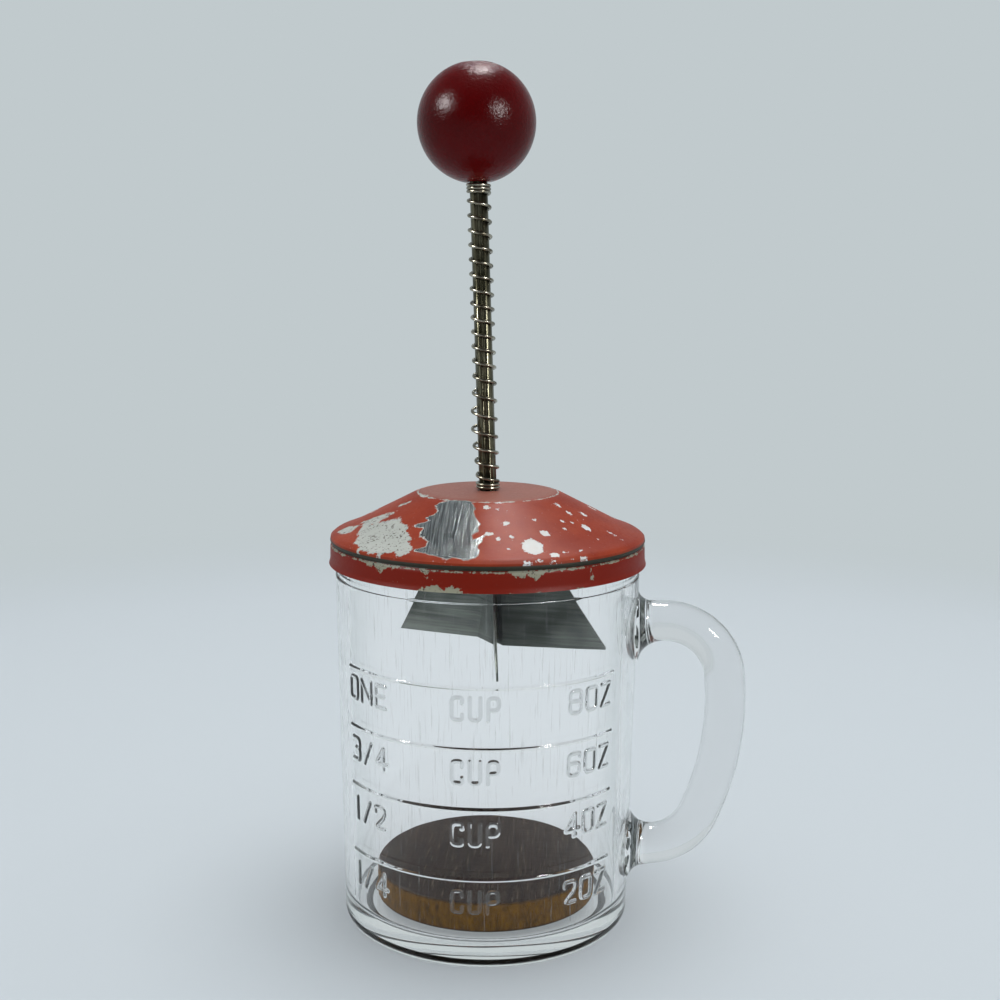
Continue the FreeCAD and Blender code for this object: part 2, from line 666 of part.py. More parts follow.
def draw_strip(sketch, line, half):
    """Outline of a sheet of half thickness `half` either side of a bent centre line.

    The corners are mitred: each side line is drawn parallel to the centre line, and the
    constraint solver finds where neighbouring side lines meet."""
    places = [Vector(x.value, y.value, 0) for x, y in line]
    runs = []
    for before, after in zip(line, line[1:]):
        first = Vector(before[0].value, before[1].value, 0)
        second = Vector(after[0].value, after[1].value, 0)
        number = sketch.addGeometry(Part.LineSegment(first, second), True)
        pin_point(sketch, number, 1, before)
        pin_point(sketch, number, 2, after)
        runs.append(number)
    sides = []
    for hand in (1, -1):
        offset_points = mitred(places, half.value * hand)
        numbers = []
        for before, after in zip(offset_points, offset_points[1:]):
            numbers.append(sketch.addGeometry(Part.LineSegment(before, after)))
        for before, after in zip(numbers, numbers[1:]):
            sketch.addConstraint(Sketcher.Constraint("Coincident", before, 2, after, 1))
        for number, run in zip(numbers, runs):
            sketch.addConstraint(Sketcher.Constraint("Parallel", number, run))
            rule = Sketcher.Constraint("Distance", run, 1, number, half.value)
            index = sketch.addConstraint(rule)
            bind(sketch, "Constraints[%d]" % index, half)
        sides.append(numbers)
    for which, corner, run in ((0, 1, runs[0]), (-1, 2, runs[-1])):
        left = sides[0][which]
        right = sides[1][which]
        ends = [sketch.Geometry[number] for number in (left, right)]
        tips = [end.StartPoint if corner == 1 else end.EndPoint for end in ends]
        closing = sketch.addGeometry(Part.LineSegment(tips[0], tips[1]))
        sketch.addConstraint(Sketcher.Constraint("Coincident", closing, 1, left, corner))
        sketch.addConstraint(Sketcher.Constraint("Coincident", closing, 2, right, corner))
        sketch.addConstraint(Sketcher.Constraint("Perpendicular", closing, run))
        sketch.addConstraint(Sketcher.Constraint("PointOnObject", run, corner, closing))


def mitred(places, shift):
    """The centre line moved sideways by shift, with its corners mitred."""
    normals = []
    for before, after in zip(places, places[1:]):
        run = (after - before).normalize()
        normals.append(Vector(-run.y, run.x, 0))
    moved = [places[0] + normals[0] * shift]
    for corner, before, after in zip(places[1:], normals, normals[1:]):
        bisector = (before + after).normalize()
        moved.append(corner + bisector * (shift / bisector.dot(before)))
    moved.append(places[-1] + normals[-1] * shift)
    return moved


def make_blades():
    """Two bent sheets, welded back to back on the tang, that form four blades."""
    front = add_blade_sheet("front_blade_sheet", -1.0, cell("front_sheet_bend"),
                            cell("front_sheet_back_bend"), cell("front_blade"), cell("left_blade"))
    rear = add_blade_sheet("rear_blade_sheet", 1.0, cell("rear_sheet_bend"),
                           cell("rear_sheet_back_bend"), cell("right_blade"), cell("far_blade"))
    return [front, rear]


# ---------------------------------------------------------------- build, check and write
PIECES = [
    make_mug(),
    make_disc(),
    make_cap(),
    make_rod(),
    make_knob(),
    make_spring(),
    make_stop_washer(),
    make_stop_pin(),
]
PIECES.extend(make_blades())
DOCUMENT.recompute()

for thing in DOCUMENT.Objects:
    if "Invalid" in thing.State or "Error" in thing.State:
        raise RuntimeError("%s did not compute: %s" % (thing.Name, thing.State))

for piece in PIECES:
    if piece.Shape.isNull() or not piece.Shape.isValid() or not piece.Shape.Solids:
        raise RuntimeError("%s has no sound solid" % piece.Label)

os.makedirs("parts", exist_ok=True)
for piece in PIECES:
    piece.Shape.exportStep("parts/%s.step" % piece.Label)
    print("%-20s %9.1f mm3  %s" % (piece.Label, piece.Shape.Volume, piece.Shape.BoundBox))
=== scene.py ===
import bpy
import math
from functools import partial
from mathutils import Euler, Matrix, Vector


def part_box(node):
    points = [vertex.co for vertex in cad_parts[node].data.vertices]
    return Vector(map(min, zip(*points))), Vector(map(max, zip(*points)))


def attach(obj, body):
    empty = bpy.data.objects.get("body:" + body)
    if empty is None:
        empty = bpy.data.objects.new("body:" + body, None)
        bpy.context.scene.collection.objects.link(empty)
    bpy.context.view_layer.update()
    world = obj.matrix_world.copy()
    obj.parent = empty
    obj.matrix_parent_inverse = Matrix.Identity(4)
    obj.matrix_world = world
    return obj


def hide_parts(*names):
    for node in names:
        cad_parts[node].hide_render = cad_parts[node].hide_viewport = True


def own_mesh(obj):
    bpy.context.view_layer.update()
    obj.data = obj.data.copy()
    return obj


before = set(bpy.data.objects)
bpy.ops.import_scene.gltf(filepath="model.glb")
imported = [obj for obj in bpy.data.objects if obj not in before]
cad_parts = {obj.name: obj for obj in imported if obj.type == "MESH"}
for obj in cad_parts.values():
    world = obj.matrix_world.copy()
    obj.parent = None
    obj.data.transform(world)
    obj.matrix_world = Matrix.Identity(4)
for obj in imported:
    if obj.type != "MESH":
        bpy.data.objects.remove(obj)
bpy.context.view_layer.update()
bpy.ops.object.select_all(action="DESELECT")

# ------------------------------------------------------------------ view, table and light
# A plunger food chopper stands on a plain pale table, lit softly from above. One lamp hangs
# above and a little behind it, and two stand in front, left and right.
mm = 0.001
scene = bpy.context.scene
scene.view_settings.view_transform = "Standard"
# Light in thick glass is followed until it has left the glass.
scene.cycles.max_bounces = 32
scene.cycles.glossy_bounces = 20
scene.cycles.transmission_bounces = 28
scene.cycles.caustics_reflective = False

CAMERA_PLACE = Vector((25.26, -352.11, 164.9)) * mm
CAMERA_DOWN = math.radians(8.80)
CAMERA_TURN = math.radians(3.6)
CAMERA_ROLL = math.radians(0.38)
bpy.ops.object.camera_add(location=CAMERA_PLACE)
camera = bpy.context.object
camera.data.lens = 49.82
camera.data.sensor_width = 36
level_aim = Euler((math.radians(90) - CAMERA_DOWN, 0, CAMERA_TURN)).to_matrix()
camera.rotation_euler = (level_aim @ Matrix.Rotation(CAMERA_ROLL, 3, "Z")).to_euler()
scene.camera = camera


def linear(hex_colour):
    """An sRGB colour such as "#A03020" as linear RGBA."""
    channels = [int(hex_colour[i:i + 2], 16) / 255 for i in (1, 3, 5)]
    return [c / 12.92 if c <= 0.04045 else ((c + 0.055) / 1.055) ** 2.4 for c in channels] + [1.0]


def add_node(tree, kind, links=(), **settings):
    """Add one shader node. links gives its inputs, by name or in their order: a node, which
    stands for its first output, a socket, a colour such as "#A03020" or a plain value."""
    node = tree.nodes.new("ShaderNode" + kind)
    for name, value in settings.items():
        setattr(node, name, value)
    for name, value in links.items() if isinstance(links, dict) else enumerate(links):
        if isinstance(value, bpy.types.Node):
            value = value.outputs[0]
        if isinstance(value, bpy.types.NodeSocket):
            tree.links.new(value, node.inputs[name])
        else:
            node.inputs[name].default_value = linear(value) if isinstance(value, str) else value
    return node


def new_material(name):
    """An empty material, the function that adds a node to it, and its object coordinates."""
    material = bpy.data.materials.new(name)
    material.use_nodes = True
    material.node_tree.nodes.clear()
    add = partial(add_node, material.node_tree)
    return material, add, add("TexCoord").outputs["Object"]


def place_lamp(name, direction, distance, width, depth, power):
    """A soft oval lamp in a direction from the knob."""
    knob_place = Vector((-3.3, 0, 204.8)) * mm
    toward = Vector(direction).normalized()
    bpy.ops.object.light_add(type="AREA", location=knob_place + toward * distance)
    lamp = bpy.context.object
    lamp.name = name
    lamp.data.shape = "ELLIPSE"
    lamp.data.size = width
    lamp.data.size_y = depth
    lamp.data.energy = power
    lamp.rotation_euler = toward.to_track_quat("Z", "Y").to_euler()
    return lamp


# A wide cloth overhead lights every surface softly and is too even to show in the gloss.
# Three lamps with shades make the highlights.
overhead = place_lamp("overhead_cloth", (0.05, 0.02, 1.0), 1.1, 1.2, 1.2, 13.5)
overhead.visible_glossy = False
overhead.visible_transmission = False
for lamp in (place_lamp("ceiling_lamp", (0.05, 0.42, 0.90), 1.1, 0.22, 0.50, 12.5),
             place_lamp("left_lamp", (-0.803, -0.374, 0.464), 1.2, 0.26, 0.26, 19.0),
             place_lamp("right_lamp", (0.732, -0.605, 0.314), 1.2, 0.26, 0.26, 13.6)):
    lamp.visible_diffuse = False
    lamp.visible_transmission = False

# The air is evenly pale for matt surfaces. Gloss shows the studio behind the viewer and the
# ceiling, which are darker than the backdrop.
BACKDROP_COLOUR = "#C1CACD"
BEHIND_GLASS = "#D3DADD"
world = bpy.data.worlds.new("studio_air")
scene.world = world
world.use_nodes = True
world.cycles.sampling_method = "NONE"
world.node_tree.nodes.clear()
add = partial(add_node, world.node_tree)
rays = add("LightPath")
facing = add("SeparateXYZ", [add("TexCoord").outputs["Generated"]])
back_share = add("MapRange", [facing.outputs["Y"], -0.9, 0.24])
low_share = add("MapRange", [facing.outputs["Z"], 0.3, 0.8, 1.0, 0.3])
room = add("MixRGB", [back_share, "#2E3030", "#B9C2C6"])
room = add("MixRGB", [low_share, "#000000", room])
seen = add("Math", [rays.outputs["Diffuse Depth"], 0.5], operation="LESS_THAN")
through = add("Math", [rays.outputs["Is Transmission Ray"], seen], operation="MULTIPLY")
sky = "#A3A8AA"
for share, colour in ((rays.outputs["Is Glossy Ray"], room), (through, BEHIND_GLASS),
                      (rays.outputs["Is Camera Ray"], BACKDROP_COLOUR)):
    sky = add("MixRGB", [share, sky, colour])
backdrop = add("Background", {"Color": sky, "Strength": 1.0})
add("OutputWorld", {"Surface": backdrop})

# White laminate, lit near the chopper and fading into the backdrop's colour far away.
TABLE_SIZE = 12.0
FADE_START = 0.36
FADE_END = 0.60
bpy.ops.mesh.primitive_plane_add(size=TABLE_SIZE)
table = bpy.context.object
table.name = "table_top"
laminate, add, place = new_material("white_laminate")
away = add("VectorMath", [place], operation="LENGTH").outputs["Value"]
fade = add("MapRange", [away, FADE_START, FADE_END], interpolation_type="SMOOTHSTEP")
top = add("BsdfPrincipled", {"Base Color": "#CBD2D7", "Roughness": 0.5, "Specular IOR Level": 0.0})
far = add("Emission", {"Color": BACKDROP_COLOUR, "Strength": 1.0})
path = add("LightPath")
unlit = add("Math", [path.outputs["Is Diffuse Ray"], -1.0, 1.0], operation="MULTIPLY_ADD")
gone = add("Math", [fade, unlit], operation="MULTIPLY")
both = add("MixShader", [gone, top, far])
# Seen through the glass it glows a little paler, as the backdrop does: a painted glow that stands in for
# light the glass gathers from the sides.
bright = add("Emission", {"Color": "#E2E8EC", "Strength": 1.0})
seen = add("Math", [path.outputs["Diffuse Depth"], 0.5], operation="LESS_THAN")
through = add("Math", [path.outputs["Is Transmission Ray"], seen], operation="MULTIPLY")
through = add("Math", [through, 0.35], operation="MULTIPLY")
both = add("MixShader", [through, both, bright])
add("OutputMaterial", {"Surface": both})
table.data.materials.append(laminate)


# ------------------------------------------------------------------ glass mug
# A one-cup measuring mug, pressed in clear soda glass in one piece with its loop handle,
# its raised measure lines and its raised figures. The rim is fire polished and carries a
# moulding ledge where the cap's skirt ends.
MUG_HEIGHT = 102.0 * mm
FOOT_RADIUS = 37.5 * mm
LEDGE_RADIUS = 39.3 * mm
LEDGE_HEIGHT = 91.7 * mm
NECK_RADIUS = 38.8 * mm
WALL = 3.3 * mm
RIM_WALL = 2.8 * mm
FLOOR_TOP = 6.0 * mm
FOOT_ROUNDING = 2.5 * mm
FLOOR_ROUNDING = 2.0 * mm
RIM_ROUNDING = 1.3 * mm
MUG_SEGMENTS = 240
SLACK = 0.02 * mm


def wall_radius(height):
    """Outside radius of the tapered wall at a height."""
    return FOOT_RADIUS + (LEDGE_RADIUS - FOOT_RADIUS) * height / LEDGE_HEIGHT


def direction_of(spot):
    """Direction of a place from the mug's axis: 0 at the front, and growing towards +X."""
    return math.atan2(spot.x, -spot.y)


def select_parts(piece, mode, wanted):
    """In edit mode, select the faces or edges for which wanted() is true."""
    bpy.ops.object.mode_set(mode="OBJECT")
    mesh = piece.data
    for items in (mesh.polygons, mesh.edges, mesh.vertices):
        items.foreach_set("select", [False] * len(items))
    for item in mesh.polygons if mode == "FACE" else mesh.edges:
        item.select = wanted(item)
    bpy.ops.object.mode_set(mode="EDIT")
    bpy.ops.mesh.select_mode(type=mode)


def bevel_ring(piece, radius, height, width, segments):
    """Round the circular edge about Z at this radius and height."""
    def on_ring(edge):
        ends = [piece.data.vertices[i].co for i in edge.vertices]
        return all(max(abs(p.xy.length - radius), abs(p.z - height)) < SLACK for p in ends)
    select_parts(piece, "EDGE", on_ring)
    bpy.ops.mesh.bevel(offset=width, segments=segments, profile=0.5, affect="EDGES")


def extrude_ring(rise, old_radius, new_radius):
    """Extrude the selected face or open ring along Z and scale it to a new radius."""
    bpy.ops.mesh.extrude_region_move(TRANSFORM_OT_translate={"value": (0, 0, rise)})
    factor = new_radius / old_radius
    bpy.ops.transform.resize(value=(factor, factor, 1), center_override=(0, 0, 0))


def cut_all(place, normal, **settings):
    """In edit mode, cut the whole piece along a plane."""
    bpy.ops.mesh.select_all(action="SELECT")
    bpy.ops.mesh.bisect(plane_co=place, plane_no=normal, **settings)


def turn_outward():
    """In edit mode, turn all faces to the outside."""
    bpy.ops.mesh.select_all(action="SELECT")
    bpy.ops.mesh.normals_make_consistent()


bpy.ops.mesh.primitive_circle_add(vertices=MUG_SEGMENTS, radius=FOOT_RADIUS, fill_type="NGON")
mug = bpy.context.object
mug.name = "glass_measuring_mug"
bpy.ops.object.mode_set(mode="EDIT")
bpy.ops.mesh.select_all(action="SELECT")
extrude_ring(LEDGE_HEIGHT, FOOT_RADIUS, LEDGE_RADIUS)
extrude_ring(0.0, LEDGE_RADIUS, NECK_RADIUS)
extrude_ring(MUG_HEIGHT - LEDGE_HEIGHT, NECK_RADIUS, NECK_RADIUS)
inner_rim = NECK_RADIUS - RIM_WALL
inner_foot = wall_radius(FLOOR_TOP) - WALL
extrude_ring(0.0, NECK_RADIUS, inner_rim)
extrude_ring(FLOOR_TOP - MUG_HEIGHT, inner_rim, inner_foot)
turn_outward()

# The underside is hollowed a little, so that the mug stands on a ring.
RECESS_RADIUS = 32.0 * mm
RECESS_DEPTH = 0.8 * mm
RECESS_ROUNDING = 0.6 * mm
LEDGE_ROUNDING = 0.2 * mm
select_parts(mug, "FACE", lambda face: face.normal.z < -0.9 and len(face.vertices) == MUG_SEGMENTS)
extrude_ring(0.0, FOOT_RADIUS, RECESS_RADIUS)
extrude_ring(RECESS_DEPTH, RECESS_RADIUS, RECESS_RADIUS - RECESS_DEPTH)
for radius, height, width, segments in (
        (FOOT_RADIUS, 0.0, FOOT_ROUNDING, 7),
        (RECESS_RADIUS, 0.0, RECESS_ROUNDING, 3),
        (RECESS_RADIUS - RECESS_DEPTH, RECESS_DEPTH, RECESS_ROUNDING, 3),
        (inner_foot, FLOOR_TOP, FLOOR_ROUNDING, 6),
        (inner_rim, MUG_HEIGHT, RIM_ROUNDING, 5),
        (NECK_RADIUS, MUG_HEIGHT, RIM_ROUNDING, 5),
        (LEDGE_RADIUS, LEDGE_HEIGHT, LEDGE_ROUNDING, 2),
        (NECK_RADIUS, LEDGE_HEIGHT, LEDGE_ROUNDING, 2)):
    bevel_ring(mug, radius, height, width, segments)
# Rows just inside each rounding, with their heights in mm, keep the tall faces of the wall
# truly straight in the light.
WALL_ROWS = [2.8, 8.4, 28.0, 44.3, 59.3, 74.5, 83.0, 91.3, 92.1, 100.5]
for row in WALL_ROWS:
    cut_all((0, 0, row * mm), (0, 0, 1))
bpy.ops.object.mode_set(mode="OBJECT")

# The loop handle: straight runs and wide bends of a soft oval section, which swell into the
# wall, a little above the arms and more below and inside the loop.
HANDLE_THICKNESS = 10.5 * mm
HANDLE_CORNERS = [Vector((x, 0, z)) * mm for x, z in ((37.0, 79.5), (60.6, 79.1), (63.74, 46.2),
                                                      (53.2, 20.3), (36.2, 17.3))]
HANDLE_BENDS = [15.5 * mm, 75.0 * mm, 14.4 * mm]
SEAM_GAP = 0.0002 * mm
knots = [(HANDLE_CORNERS[0], HANDLE_CORNERS[0], HANDLE_CORNERS[0])]
for before, corner, after, bend in zip(HANDLE_CORNERS, HANDLE_CORNERS[1:], HANDLE_CORNERS[2:],
                                       HANDLE_BENDS):
    back = (before - corner).normalized()
    ahead = (after - corner).normalized()
    turn = math.pi - back.angle(ahead)
    setback = bend * math.tan(turn / 2)
    arm = 4 / 3 * math.tan(turn / 4) * bend
    entry = corner + back * setback
    leave = corner + ahead * setback
    knots.append((entry, entry, entry - back * arm))
    knots.append((leave - ahead * arm, leave, leave))
knots.append((HANDLE_CORNERS[-1],) * 3)

bpy.ops.curve.primitive_bezier_circle_add(radius=HANDLE_THICKNESS / 2)
handle_section = bpy.context.object
handle_section.data.resolution_u = 10
bpy.ops.curve.primitive_bezier_curve_add()
handle = bpy.context.object
spline = handle.data.splines[0]
spline.bezier_points.add(len(knots) - len(spline.bezier_points))
for point, (left, middle, right) in zip(spline.bezier_points, knots):
    point.handle_left_type = point.handle_right_type = "FREE"
    point.handle_left = left
    point.co = middle
    point.handle_right = right
handle.data.resolution_u = 20
handle.data.bevel_mode = "OBJECT"
handle.data.bevel_object = handle_section
handle.data.use_fill_caps = True
bpy.ops.object.convert(target="MESH")
bpy.ops.object.mode_set(mode="EDIT")
bpy.ops.mesh.select_all(action="SELECT")
bpy.ops.mesh.remove_doubles(threshold=SEAM_GAP)
turn_outward()

TOP_ARM = 79.5 * mm
BOTTOM_ARM = 17.3 * mm
TOP_ARM_SLOPE = -0.4 / 21.3
BOTTOM_ARM_SLOPE = 3.0 / 15.2
LOOP_MIDDLE = 48.0 * mm
ROOT_TOP = Vector((wall_radius(TOP_ARM), 0, TOP_ARM))
ROOT_BOTTOM = Vector((wall_radius(BOTTOM_ARM), 0, BOTTOM_ARM))
SWELL_REACH = 8.0 * mm
SWELL_CUTS = 12
SWELL_CORE = 0.1 * mm
FILLET_END = 0.965
# Rounding of the swelling in mm: at the arm's sides, and what it gains inside the loop and
# loses outside it.
SWELL_SIDE, SWELL_GAIN, SWELL_LOSS = 4.6, 2.4, 1.2
for step in range(SWELL_CUTS):
    cut = ROOT_TOP.x + SWELL_REACH * (step / (SWELL_CUTS - 1)) ** 1.5
    cut_all((cut, 0, 0), (1, 0, 0))
bpy.ops.object.mode_set(mode="OBJECT")


def swell(distance, rounding):
    """How far a hollow fillet of this rounding stands off, at a distance from the wall. It
    stops growing a little before it would lie along the wall."""
    reach = min(max(rounding - distance, 0.0), rounding * FILLET_END)
    return rounding - math.sqrt(rounding * rounding - reach * reach)


for vertex in handle.data.vertices:
    upper = vertex.co.z > LOOP_MIDDLE
    root, slope, inside_loop = (ROOT_TOP, TOP_ARM_SLOPE, -1) if upper else (ROOT_BOTTOM, BOTTOM_ARM_SLOPE, 1)
    middle = root.z + slope * (vertex.co.x - root.x)
    offset = Vector((vertex.co.y, vertex.co.z - middle))
    if vertex.co.x - root.x > SWELL_REACH * 1.2 or offset.length < SWELL_CORE:
        continue
    aim = offset.normalized()
    toward_loop = aim.y * inside_loop
    rounding = (SWELL_SIDE + SWELL_GAIN * max(toward_loop, 0) - SWELL_LOSS * max(-toward_loop, 0)) * mm
    away = vertex.co.x - math.sqrt(max(root.x ** 2 - vertex.co.y ** 2, 0))
    grown = offset + aim * swell(away, rounding)
    vertex.co.y = grown.x
    vertex.co.z = middle + grown.y


def make_active(piece):
    """Select a piece alone, so that operators act on it."""
    bpy.ops.object.select_all(action="DESELECT")
    piece.select_set(True)
    bpy.context.view_layer.objects.active = piece


def join_by_boolean(piece, other):
    """Weld another closed mesh onto a piece, and remove the other."""
    make_active(piece)
    weld = piece.modifiers.new("weld", "BOOLEAN")
    weld.operation = "UNION"
    weld.solver = "EXACT"
    weld.use_self = True
    weld.object = other
    bpy.ops.object.modifier_apply(modifier=weld.name)
    bpy.data.objects.remove(other)


join_by_boolean(mug, handle)
bpy.data.objects.remove(handle_section)

# Raised measure lines and figures. The mould cutter's strokes stand on the wall as soft
# ridges. Each measure has its line's height, the height of its figures' tops and its words.
MEASURES = [
    (71.4 * mm, 69.5 * mm, ("ONE", "CUP", "8OZ")),
    (56.3 * mm, 53.7 * mm, ("3/4", "CUP", "6OZ")),
    (41.1 * mm, 38.2 * mm, ("1/2", "CUP", "4OZ")),
    (23.4 * mm, 20.9 * mm, ("1/4", "CUP", "2OZ")),
]
LINE_SWEEP = math.radians(114)
COLUMN_PLACES = [math.radians(-45.5), 0.0, math.radians(45.0)]
COLUMN_LETTER_WIDTHS = [3.3 * mm, 2.5 * mm, 3.3 * mm]
LETTER_GAP = 1.85 * mm
LETTER_HEIGHT = 5.5 * mm
ROUND_CORNER = 1.2 * mm
SHARP_CORNER = 0.15 * mm
STROKE_HALF_WIDTH = 0.72 * mm
STROKE_RELIEF = 0.38 * mm
LINE_HALF_WIDTH = 0.62 * mm
LINE_RELIEF = 0.32 * mm
# The wall around the marks: how far each measure reaches above and below its line, half the
# width of a column of figures, and the part of the front that holds them all.
MEASURE_ABOVE = 1.5 * mm
MEASURE_BELOW = 10.5 * mm
COLUMN_HALF_WIDTH = 9.5 * mm
MARKS_LOW = 12 * mm
MARKS_HIGH = 73 * mm
MARKS_HALF_SWEEP = math.radians(61)

# Strokes of plain block letters in a box one letter wide and one letter high.
LETTERS = {
    "C": [[(1, 0.76), (1, 1), (0, 1), (0, 0), (1, 0), (1, 0.24)]],
    "U": [[(0, 1), (0, 0), (1, 0), (1, 1)]],
    "P": [[(0, 0), (0, 1), (1, 1), (1, 0.46), (0, 0.46)]],
    "O": [[(0.5, 1), (0, 1), (0, 0), (1, 0), (1, 1), (0.5, 1)]],
    "N": [[(0, 0), (0, 1), (1, 0), (1, 1)]],
    "E": [[(1, 1), (0, 1), (0, 0), (1, 0)], [(0, 0.52), (0.8, 0.52)]],
    "Z": [[(0, 1), (1, 1), (0, 0), (1, 0)]],
    "1": [[(0.5, 1), (0.5, 0)]],
    "2": [[(0, 0.74), (0, 1), (1, 1), (1, 0.58), (0, 0), (1, 0)]],
    "3": [[(0, 1), (1, 1), (1, 0.54), (0.4, 0.54)], [(0.4, 0.54), (1, 0.54), (1, 0), (0, 0)]],
    "4": [[(0.75, 0), (0.75, 1), (0, 0.28), (1.1, 0.28)]],
    "6": [[(1, 0.84), (1, 1), (0, 1), (0, 0), (1, 0), (1, 0.56), (0.1, 0.56)]],
    "8": [[(0.5, 0.53), (0, 0.53), (0, 1), (1, 1), (1, 0.53), (0.5, 0.53)],
          [(0.5, 0.53), (0, 0.53), (0, 0), (1, 0), (1, 0.53), (0.5, 0.53)]],
    "/": [[(0.1, 0), (0.9, 1)]],
}
ROUND_LETTERS = "CUPO2368"
LETTER_WIDTH_SHARES = {"N": 1.2, "1": 0.5}


def rounded_run(points, rounding):
    """The points of a stroke with its inner corners rounded."""
    run = [points[0]]
    for before, corner, after in zip(points, points[1:], points[2:]):
        back = before - corner
        ahead = after - corner
        reach = min(rounding, back.length * 0.5, ahead.length * 0.5)
        entry = corner + back.normalized() * reach
        leave = corner + ahead.normalized() * reach
        for share in (0.0, 0.25, 0.5, 0.75, 1.0):
            run.append(entry.lerp(corner, share).lerp(corner.lerp(leave, share), share))
    return run + [points[-1]]


def word_strokes(word, letter_width):
    """The straight bits of a word's strokes, centred on X = 0 with its top at Y = 0."""
    widths = [letter_width * LETTER_WIDTH_SHARES.get(letter, 1.0) for letter in word]
    start = -(sum(widths) + LETTER_GAP * (len(word) - 1)) / 2
    bits = []
    for letter, width in zip(word, widths):
        corner = ROUND_CORNER if letter in ROUND_LETTERS else SHARP_CORNER
        for stroke in LETTERS[letter]:
            points = [Vector((start + x * width, (y - 1) * LETTER_HEIGHT)) for x, y in stroke]
            run = rounded_run(points, corner)
            bits += list(zip(run, run[1:]))
        start += width + LETTER_GAP
    return bits


def run_distance(point, start, end):
    """Distance from a point to the straight run between two others, all in a plane."""
    along_x, along_y = end.x - start.x, end.y - start.y
    off_x, off_y = point.x - start.x, point.y - start.y
    length_squared = along_x * along_x + along_y * along_y
    share = 0.0
    if length_squared:
        share = max(0.0, min(1.0, (off_x * along_x + off_y * along_y) / length_squared))
    return math.hypot(off_x - along_x * share, off_y - along_y * share)


words = {(word, width): word_strokes(word, width)
         for _, _, row_words in MEASURES for word, width in zip(row_words, COLUMN_LETTER_WIDTHS)}
NOT_NEAR = 9.0 * mm


def mark_distances(spot):
    """Distances from a place on the wall to the nearest measure line and figure stroke."""
    around = direction_of(spot)
    for line_height, figure_top, row_words in MEASURES:
        if line_height - MEASURE_BELOW < spot.z < line_height + MEASURE_ABOVE:
            break
    else:
        return NOT_NEAR, NOT_NEAR
    reach = wall_radius(spot.z)
    past_end = max(abs(around) - LINE_SWEEP / 2, 0.0) * reach
    line = math.hypot(past_end, spot.z - line_height)
    figure = NOT_NEAR
    for place, width, word in zip(COLUMN_PLACES, COLUMN_LETTER_WIDTHS, row_words):
        local = Vector(((around - place) * reach, spot.z - figure_top + STROKE_HALF_WIDTH / 2))
        if abs(local.x) < COLUMN_HALF_WIDTH:
            figure = min(run_distance(local, *bit) for bit in words[word, width])
    return line, figure


def ridge(share):
    """Height, from 1 to 0, of a soft ridge at a share of its half width from its middle."""
    return 0.5 + 0.5 * math.cos(math.pi * min(share, 1.0))


def on_front_wall(spot):
    """Whether a point is on the outside of the wall, where the marks are."""
    return (abs(spot.xy.length - wall_radius(spot.z)) < SLACK
            and abs(direction_of(spot)) < MARKS_HALF_SWEEP
            and MARKS_LOW < spot.z < MARKS_HIGH)


# The wall is cut into rows of about a millimetre at each measure, and those into fine squares.
MARK_ROW = 1.0 * mm
ROWS_BELOW_LINE = 10
ROWS_HALF_SWEEP = math.radians(60)
OUTSIDE_WALL = 37 * mm
LARGEST_SQUARE = 1.5 * mm * mm
FINE_REACH = 1.5 * mm


def crosses(face, level):
    """Whether a face of the wall's front has this level between its lowest and highest corner."""
    heights = [mug.data.vertices[i].co.z for i in face.vertices]
    return (abs(face.normal.z) < 0.1 and face.center.xy.length > OUTSIDE_WALL
            and abs(direction_of(face.center)) < ROWS_HALF_SWEEP
            and min(heights) < level < max(heights))


make_active(mug)
for line_height, _, _ in MEASURES:
    for step in range(-ROWS_BELOW_LINE, 2):
        level = line_height + step * MARK_ROW
        select_parts(mug, "FACE", lambda face: crosses(face, level))
        bpy.ops.mesh.bisect(plane_co=(0, 0, level), plane_no=(0, 0, 1))
select_parts(mug, "FACE", lambda face: (len(face.vertices) == 4 and face.area < LARGEST_SQUARE
                                        and on_front_wall(face.center)
                                        and min(mark_distances(face.center)) < FINE_REACH))
bpy.ops.mesh.subdivide(number_cuts=4)
bpy.ops.object.mode_set(mode="OBJECT")
stroke_field = mug.data.attributes.new("stroke", "FLOAT", "POINT")
for vertex in mug.data.vertices:
    if on_front_wall(vertex.co):
        line, figure = mark_distances(vertex.co)
        line_ridge = LINE_RELIEF * ridge(line / LINE_HALF_WIDTH)
        figure_ridge = STROKE_RELIEF * ridge(figure / STROKE_HALF_WIDTH)
        around = direction_of(vertex.co)
        reach = wall_radius(vertex.co.z) + max(line_ridge, figure_ridge)
        vertex.co = (reach * math.sin(around), -reach * math.cos(around), vertex.co.z)
        stroke_field.data[vertex.index].value = figure_ridge / STROKE_RELIEF
bpy.ops.object.shade_smooth_by_angle(angle=math.radians(40))


def per_mm(*sizes):
    """The scales at which a pattern has cells of these sizes in mm."""
    return [1 / (size * mm) for size in sizes]


# Soda glass, pressed in an iron mould and fire polished: clear, with a grey-green cast that
# deepens in thick places, and a surface that is very slightly wavy. Inside, upright wash
# marks have left a faint white bloom.
soda_glass, add, place = new_material("pressed_soda_glass")
wave = add("TexNoise", {"Vector": place, "Scale": 1 / (14 * mm), "Detail": 1.0, "Roughness": 0.4})
wavy = add("Bump", {"Height": wave, "Strength": 0.12, "Distance": 0.5 * mm})
upright = add("Mapping", {"Vector": place, "Scale": per_mm(0.6, 0.6, 16)})
streak = add("TexNoise", {"Vector": upright, "Scale": 1.0, "Detail": 3.0, "Roughness": 0.6})
spot = add("SeparateXYZ", [place])
plan = add("CombineXYZ", [spot.outputs["X"], spot.outputs["Y"]])
reach = add("VectorMath", [plan], operation="LENGTH").outputs["Value"]
INSIDE_WALL = 36.4 * mm
BLOOM_LOW = 9.0 * mm
inner_wall = add("Math", [reach, INSIDE_WALL], operation="LESS_THAN")
